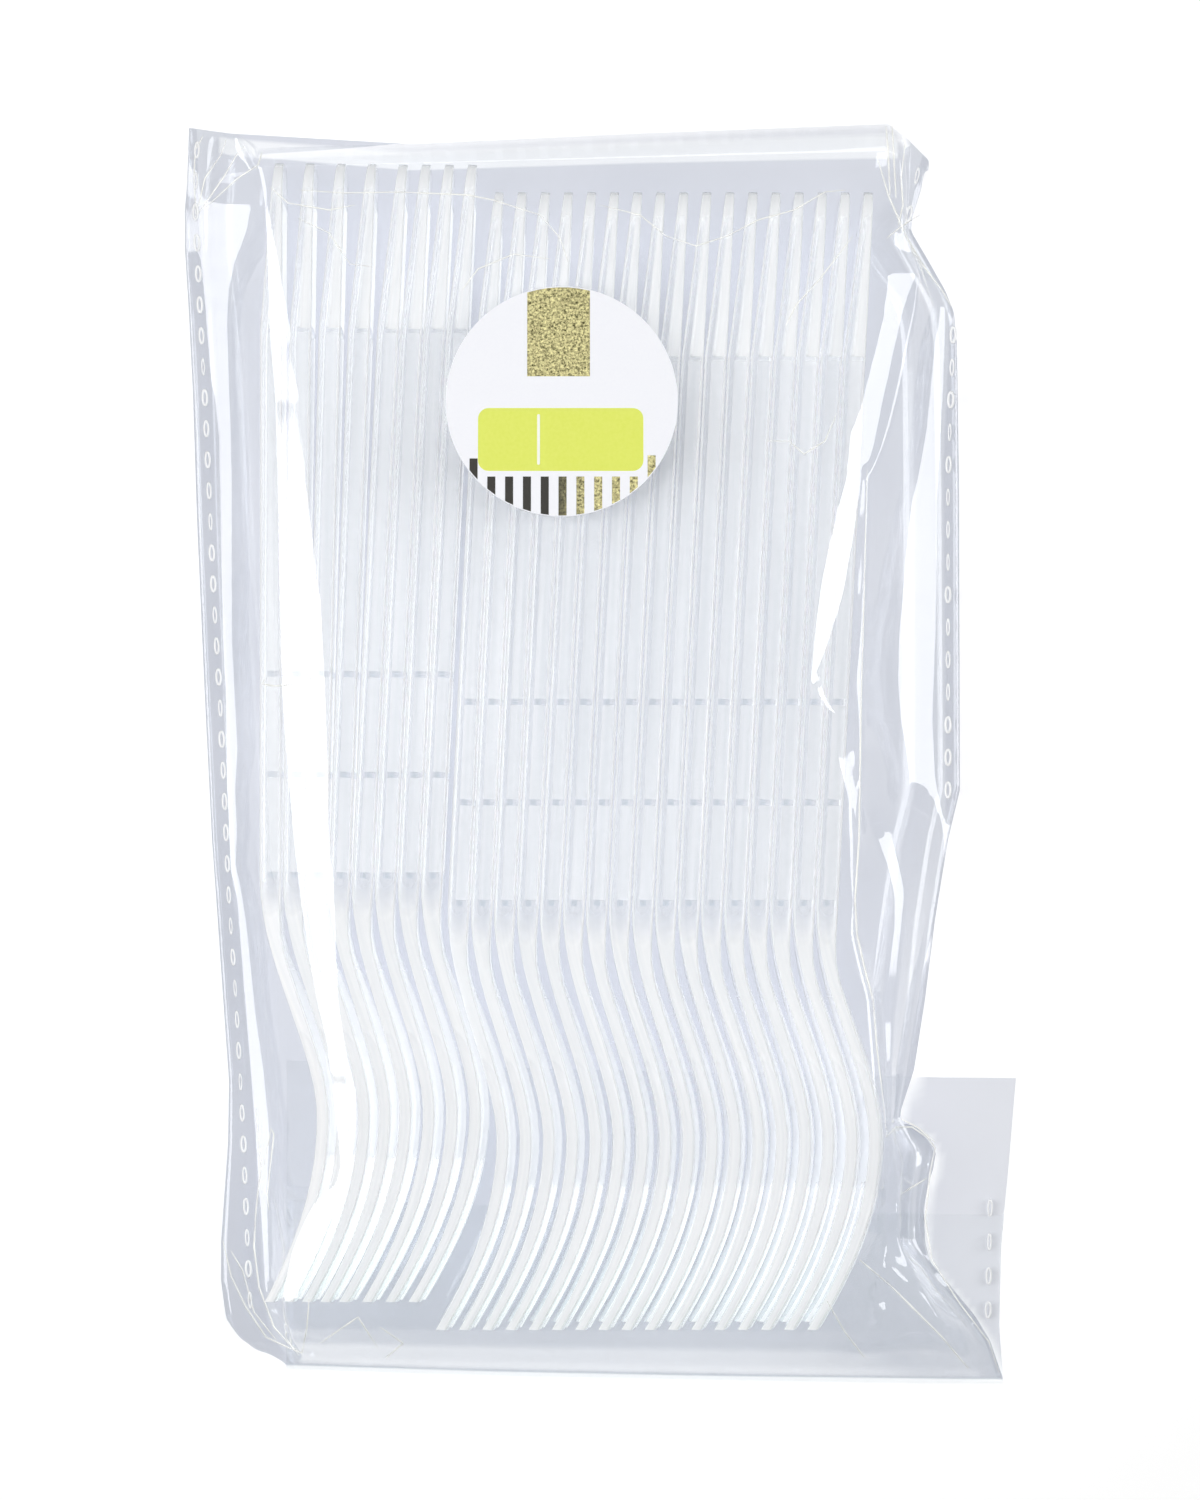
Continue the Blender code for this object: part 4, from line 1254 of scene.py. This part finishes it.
def makePaper():
    # Coated label paper, screen printed: flat white with a faint sheen.
    made, tree = newMaterial("coatedLabelPaper")
    fibre, tone = mottled(tree, label["fibre"], label["paper"], {"Detail": 4.0})
    bump = addNode(tree, "ShaderNodeBump", inputs={"Height": fibre, "Strength": 0.05, "Distance": 0.0001})
    shader = addNode(tree, "ShaderNodeBsdfPrincipled", inputs={
        "Base Color": tone, "Roughness": 0.42, "Normal": bump})
    finishMaterial(tree, throughShadow(tree, shader, label["paperShadow"]))
    return made


def makeFoil():
    # Hot-stamped gold foil: crinkled metal; the charcoal on the left of the lower bars is a painted dark
    # reflection.
    made, tree = newMaterial("hotStampedFoil")
    place = addNode(tree, "ShaderNodeTexCoord").outputs["Object"]
    grain = addNode(tree, "ShaderNodeTexNoise", inputs={
        "Vector": place, "Scale": 1 / (label["foilGrain"] * mm), "Detail": 4.0, "Roughness": 0.7,
        "Distortion": 0.4})
    level = addNode(tree, "ShaderNodeMapRange", inputs={
        "Value": grain, "From Min": 0.35, "From Max": 0.65})
    low, high = [linear(colour) for colour in label["foil"]]
    metal = addNode(tree, "ShaderNodeMix", {"data_type": "RGBA"}, {"Factor": level, "A": low, "B": high})
    where = addNode(tree, "ShaderNodeSeparateXYZ", inputs={"Vector": place}).outputs
    centreX, centreY = label["centre"]
    # painted dark reflection: charcoal on the left of the lower bars
    paintedReflection = addNode(tree, "ShaderNodeMapRange", {"interpolation_type": "SMOOTHSTEP"}, {
        "Value": where["X"], "From Min": (centreX + label["paintedReflectionFrom"]) * mm,
        "From Max": (centreX + label["paintedReflectionTo"]) * mm, "To Min": 1.0, "To Max": 0.0})
    below = addNode(tree, "ShaderNodeMath", {"operation": "LESS_THAN"}, {0: where["Y"], 1: centreY * mm})
    shade = addNode(tree, "ShaderNodeMath", {"operation": "MULTIPLY"}, {0: paintedReflection, 1: below})
    tone = addNode(tree, "ShaderNodeMix", {"data_type": "RGBA"}, {
        "Factor": shade, "A": metal, "B": linear(label["paintedReflectionDark"])})
    bump = addNode(tree, "ShaderNodeBump", inputs={"Height": grain, "Strength": 0.4, "Distance": 0.0002})
    shader = addNode(tree, "ShaderNodeBsdfPrincipled", inputs={
        "Base Color": tone, "Metallic": 0.85, "Roughness": 0.38, "Normal": bump})
    finishMaterial(tree, shader)
    return made


def makeInk(name, shades):
    # Screen-printed ink on the label paper.
    made, tree = newMaterial(name)
    tone = mottled(tree, label["inkGrain"], shades, {"Detail": 2.0})[1]
    shader = addNode(tree, "ShaderNodeBsdfPrincipled", inputs={"Base Color": tone, "Roughness": 0.4})
    finishMaterial(tree, shader)
    return made


labelHeight = rowTop(label["centre"][1]) + label["lift"]
labelSlope = Matrix.Rotation(-math.atan(filmSlope), 4, "X")
labelPlace = Matrix.Translation(Vector((*label["centre"], labelHeight)) * mm) @ labelSlope


def makeLabelPaper():
    shape = bmesh.new()
    radius = label["diameter"] / 2 * mm
    middle = labelPlace @ Matrix.Translation((0, 0, label["thickness"] / 2 * mm))
    bmesh.ops.create_cone(
        shape, cap_ends=True, segments=label["rimSides"], radius1=radius, radius2=radius,
        depth=label["thickness"] * mm, matrix=middle)
    mesh = meshFrom(shape, "labelPaper")
    mesh.materials.append(makePaper())
    return linkObject("labelPaper", mesh)


def roundedBox(left, right, low, high, radius, steps=8):
    corners = ((right - radius, high - radius, 0), (left + radius, high - radius, 90),
               (left + radius, low + radius, 180), (right - radius, low + radius, 270))
    return [(x + radius * math.cos(math.radians(start + 90 * k / steps)),
             y + radius * math.sin(math.radians(start + 90 * k / steps)))
            for x, y, start in corners for k in range(steps + 1)]


def toRim(left, right, edge, upwards, steps=6):
    # Outline of a straight print that runs on to the rim of the label.
    rim = label["diameter"] / 2 - label["margin"]
    xs = [left + (right - left) * k / steps for k in range(steps + 1)]
    arc = [(x, math.sqrt(rim**2 - x**2) * (1 if upwards else -1)) for x in xs]
    return [(right, edge), (left, edge)] + arc if upwards else [(left, edge), (right, edge)] + arc[::-1]


def addPrint(name, outlines, lift, material):
    # Flat shapes with a little depth, lying on the label.
    shape = bmesh.new()
    for outline in outlines:
        lower, upper = [[shape.verts.new(labelPlace @ (Vector((x, y, z)) * mm)) for x, y in outline]
                        for z in (lift, lift + label["ink"])]
        shape.faces.new(upper)
        shape.faces.new(lower[::-1])
        for k in range(len(lower)):
            shape.faces.new((lower[k - 1], lower[k], upper[k], upper[k - 1]))
    bmesh.ops.recalc_face_normals(shape, faces=shape.faces)
    mesh = meshFrom(shape, name)
    mesh.materials.append(material)
    made = linkObject(name, mesh)
    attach(made, "root")


def foilOutlines():
    # The block at the top, then the row of bars that ends at the rim.
    bars = label["bars"]
    edges = [bars["top"]] * bars["count"]
    edges[0], edges[-1] = bars["outerTop"]
    outlines = [toRim(*label["block"], upwards=True)]
    for k, edge in enumerate(edges):
        middle = bars["first"] + k * bars["pitch"]
        outlines.append(toRim(middle - bars["width"] / 2, middle + bars["width"] / 2, edge, upwards=False))
    return outlines


labelPaper = makeLabelPaper()
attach(labelPaper, "root")
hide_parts("round_label")

paperTop = label["thickness"]
panelTop = paperTop + label["ink"]
addPrint("labelFoil", foilOutlines(), paperTop, makeFoil())
addPrint("labelPanel", [roundedBox(*label["panel"])], paperTop, makeInk("limeScreenInk", label["lime"]))
addPrint("labelRule", [roundedBox(*label["rule"])], panelTop, makeInk("whiteScreenInk", label["white"]))
print("label with its foil and panel")


# Stage, lamps and camera; sizes and places here are in metres

studio = {
    "tableHalf": 2.5,
    "tableZ": -0.0002,
    "table": ("FDFDFD", "FFFFFF"),
    "tableGrain": 25.0,  # millimetres
    "tableGlow": (0.13, 1.0),  # near the pack and far from it, so that the shadow stays
    "glowFrom": 0.25,
    "glowTo": 1.2,
    "world": (0.10, 1.0),  # on the object, and as the camera and reflections see it
    "lamps": {  # place, size and power
        "leftSoftbox": ((-0.50, 0.0, 0.70), (0.45, 0.7), 4.8),
        "rightSoftbox": ((0.60, 0.10, 0.60), (0.30, 0.7), 3.3),
        "topSoftbox": ((0.0, 0.70, 0.60), (0.7, 0.25), 1.25),
    },
    "clip": (0.01, 20),
}


def seenRays(tree):
    # 1 for rays that show a background as it is: from the camera, off gloss and through glass.
    path = addNode(tree, "ShaderNodeLightPath").outputs
    seen = path["Is Camera Ray"]
    for kind in ("Is Glossy Ray", "Is Transmission Ray"):
        seen = addNode(tree, "ShaderNodeMath", {"operation": "MAXIMUM"}, {0: seen, 1: path[kind]})
    return seen


def makeStage():
    # White paper sweep: matt, with a glow that the camera sees, so that it stays white.
    shape = bmesh.new()
    bmesh.ops.create_grid(shape, x_segments=1, y_segments=1, size=studio["tableHalf"])
    mesh = meshFrom(shape, "tableTop")
    made, tree = newMaterial("whitePaperSweep")
    place = addNode(tree, "ShaderNodeTexCoord").outputs["Object"]
    tone = mottled(tree, studio["tableGrain"], studio["table"])[1]
    matt = addNode(tree, "ShaderNodeBsdfDiffuse", inputs={"Color": tone})
    away = addNode(tree, "ShaderNodeVectorMath", {"operation": "LENGTH"}, {0: place}).outputs["Value"]
    near, far = studio["tableGlow"]
    glow = addNode(tree, "ShaderNodeMapRange", inputs={
        "Value": away, "From Min": studio["glowFrom"], "From Max": studio["glowTo"],
        "To Min": near, "To Max": far})
    strength = addNode(tree, "ShaderNodeMath", {"operation": "MULTIPLY"}, {0: seenRays(tree), 1: glow})
    white = addNode(tree, "ShaderNodeEmission", inputs={"Color": linear("FFFFFF"), "Strength": strength})
    shader = addNode(tree, "ShaderNodeAddShader", inputs={0: matt, 1: white})
    finishMaterial(tree, shader)
    mesh.materials.append(made)
    table = linkObject("tableTop", mesh)
    table.location.z = studio["tableZ"]


def makeLight():
    world = bpy.data.worlds.new("studio")
    bpy.context.scene.world = world
    world.use_nodes = True
    tree = world.node_tree
    tree.nodes.clear()
    least, most = studio["world"]
    strength = addNode(tree, "ShaderNodeMapRange", inputs={
        "Value": seenRays(tree), "To Min": least, "To Max": most})
    sky = addNode(tree, "ShaderNodeBackground", inputs={"Color": linear("FFFFFF"), "Strength": strength})
    addNode(tree, "ShaderNodeOutputWorld", inputs={"Surface": sky})
    for name, (place, size, power) in studio["lamps"].items():
        lamp = bpy.data.lights.new(name, "AREA")
        lamp.shape = "RECTANGLE"
        lamp.size, lamp.size_y = size
        lamp.energy = power
        holder = linkObject(name, lamp)
        holder.location = place
        holder.rotation_euler = (-Vector(place)).to_track_quat("-Z", "Y").to_euler()


def makeCamera():
    lens = bpy.data.cameras.new("camera")
    lens.lens, lens.sensor_width = camera["lens"], camera["sensor"]
    lens.clip_start, lens.clip_end = studio["clip"]
    holder = linkObject("camera", lens)
    holder.location = Vector((camera["aimX"], camera["aimY"], camera["aimZ"] + camera["distance"])) * mm
    bpy.context.scene.camera = holder


makeStage()
makeLight()
makeCamera()
bpy.context.scene.view_settings.view_transform = "Standard"
bpy.context.scene.cycles.transparent_max_bounces = 64
print("stage, lamps and camera")
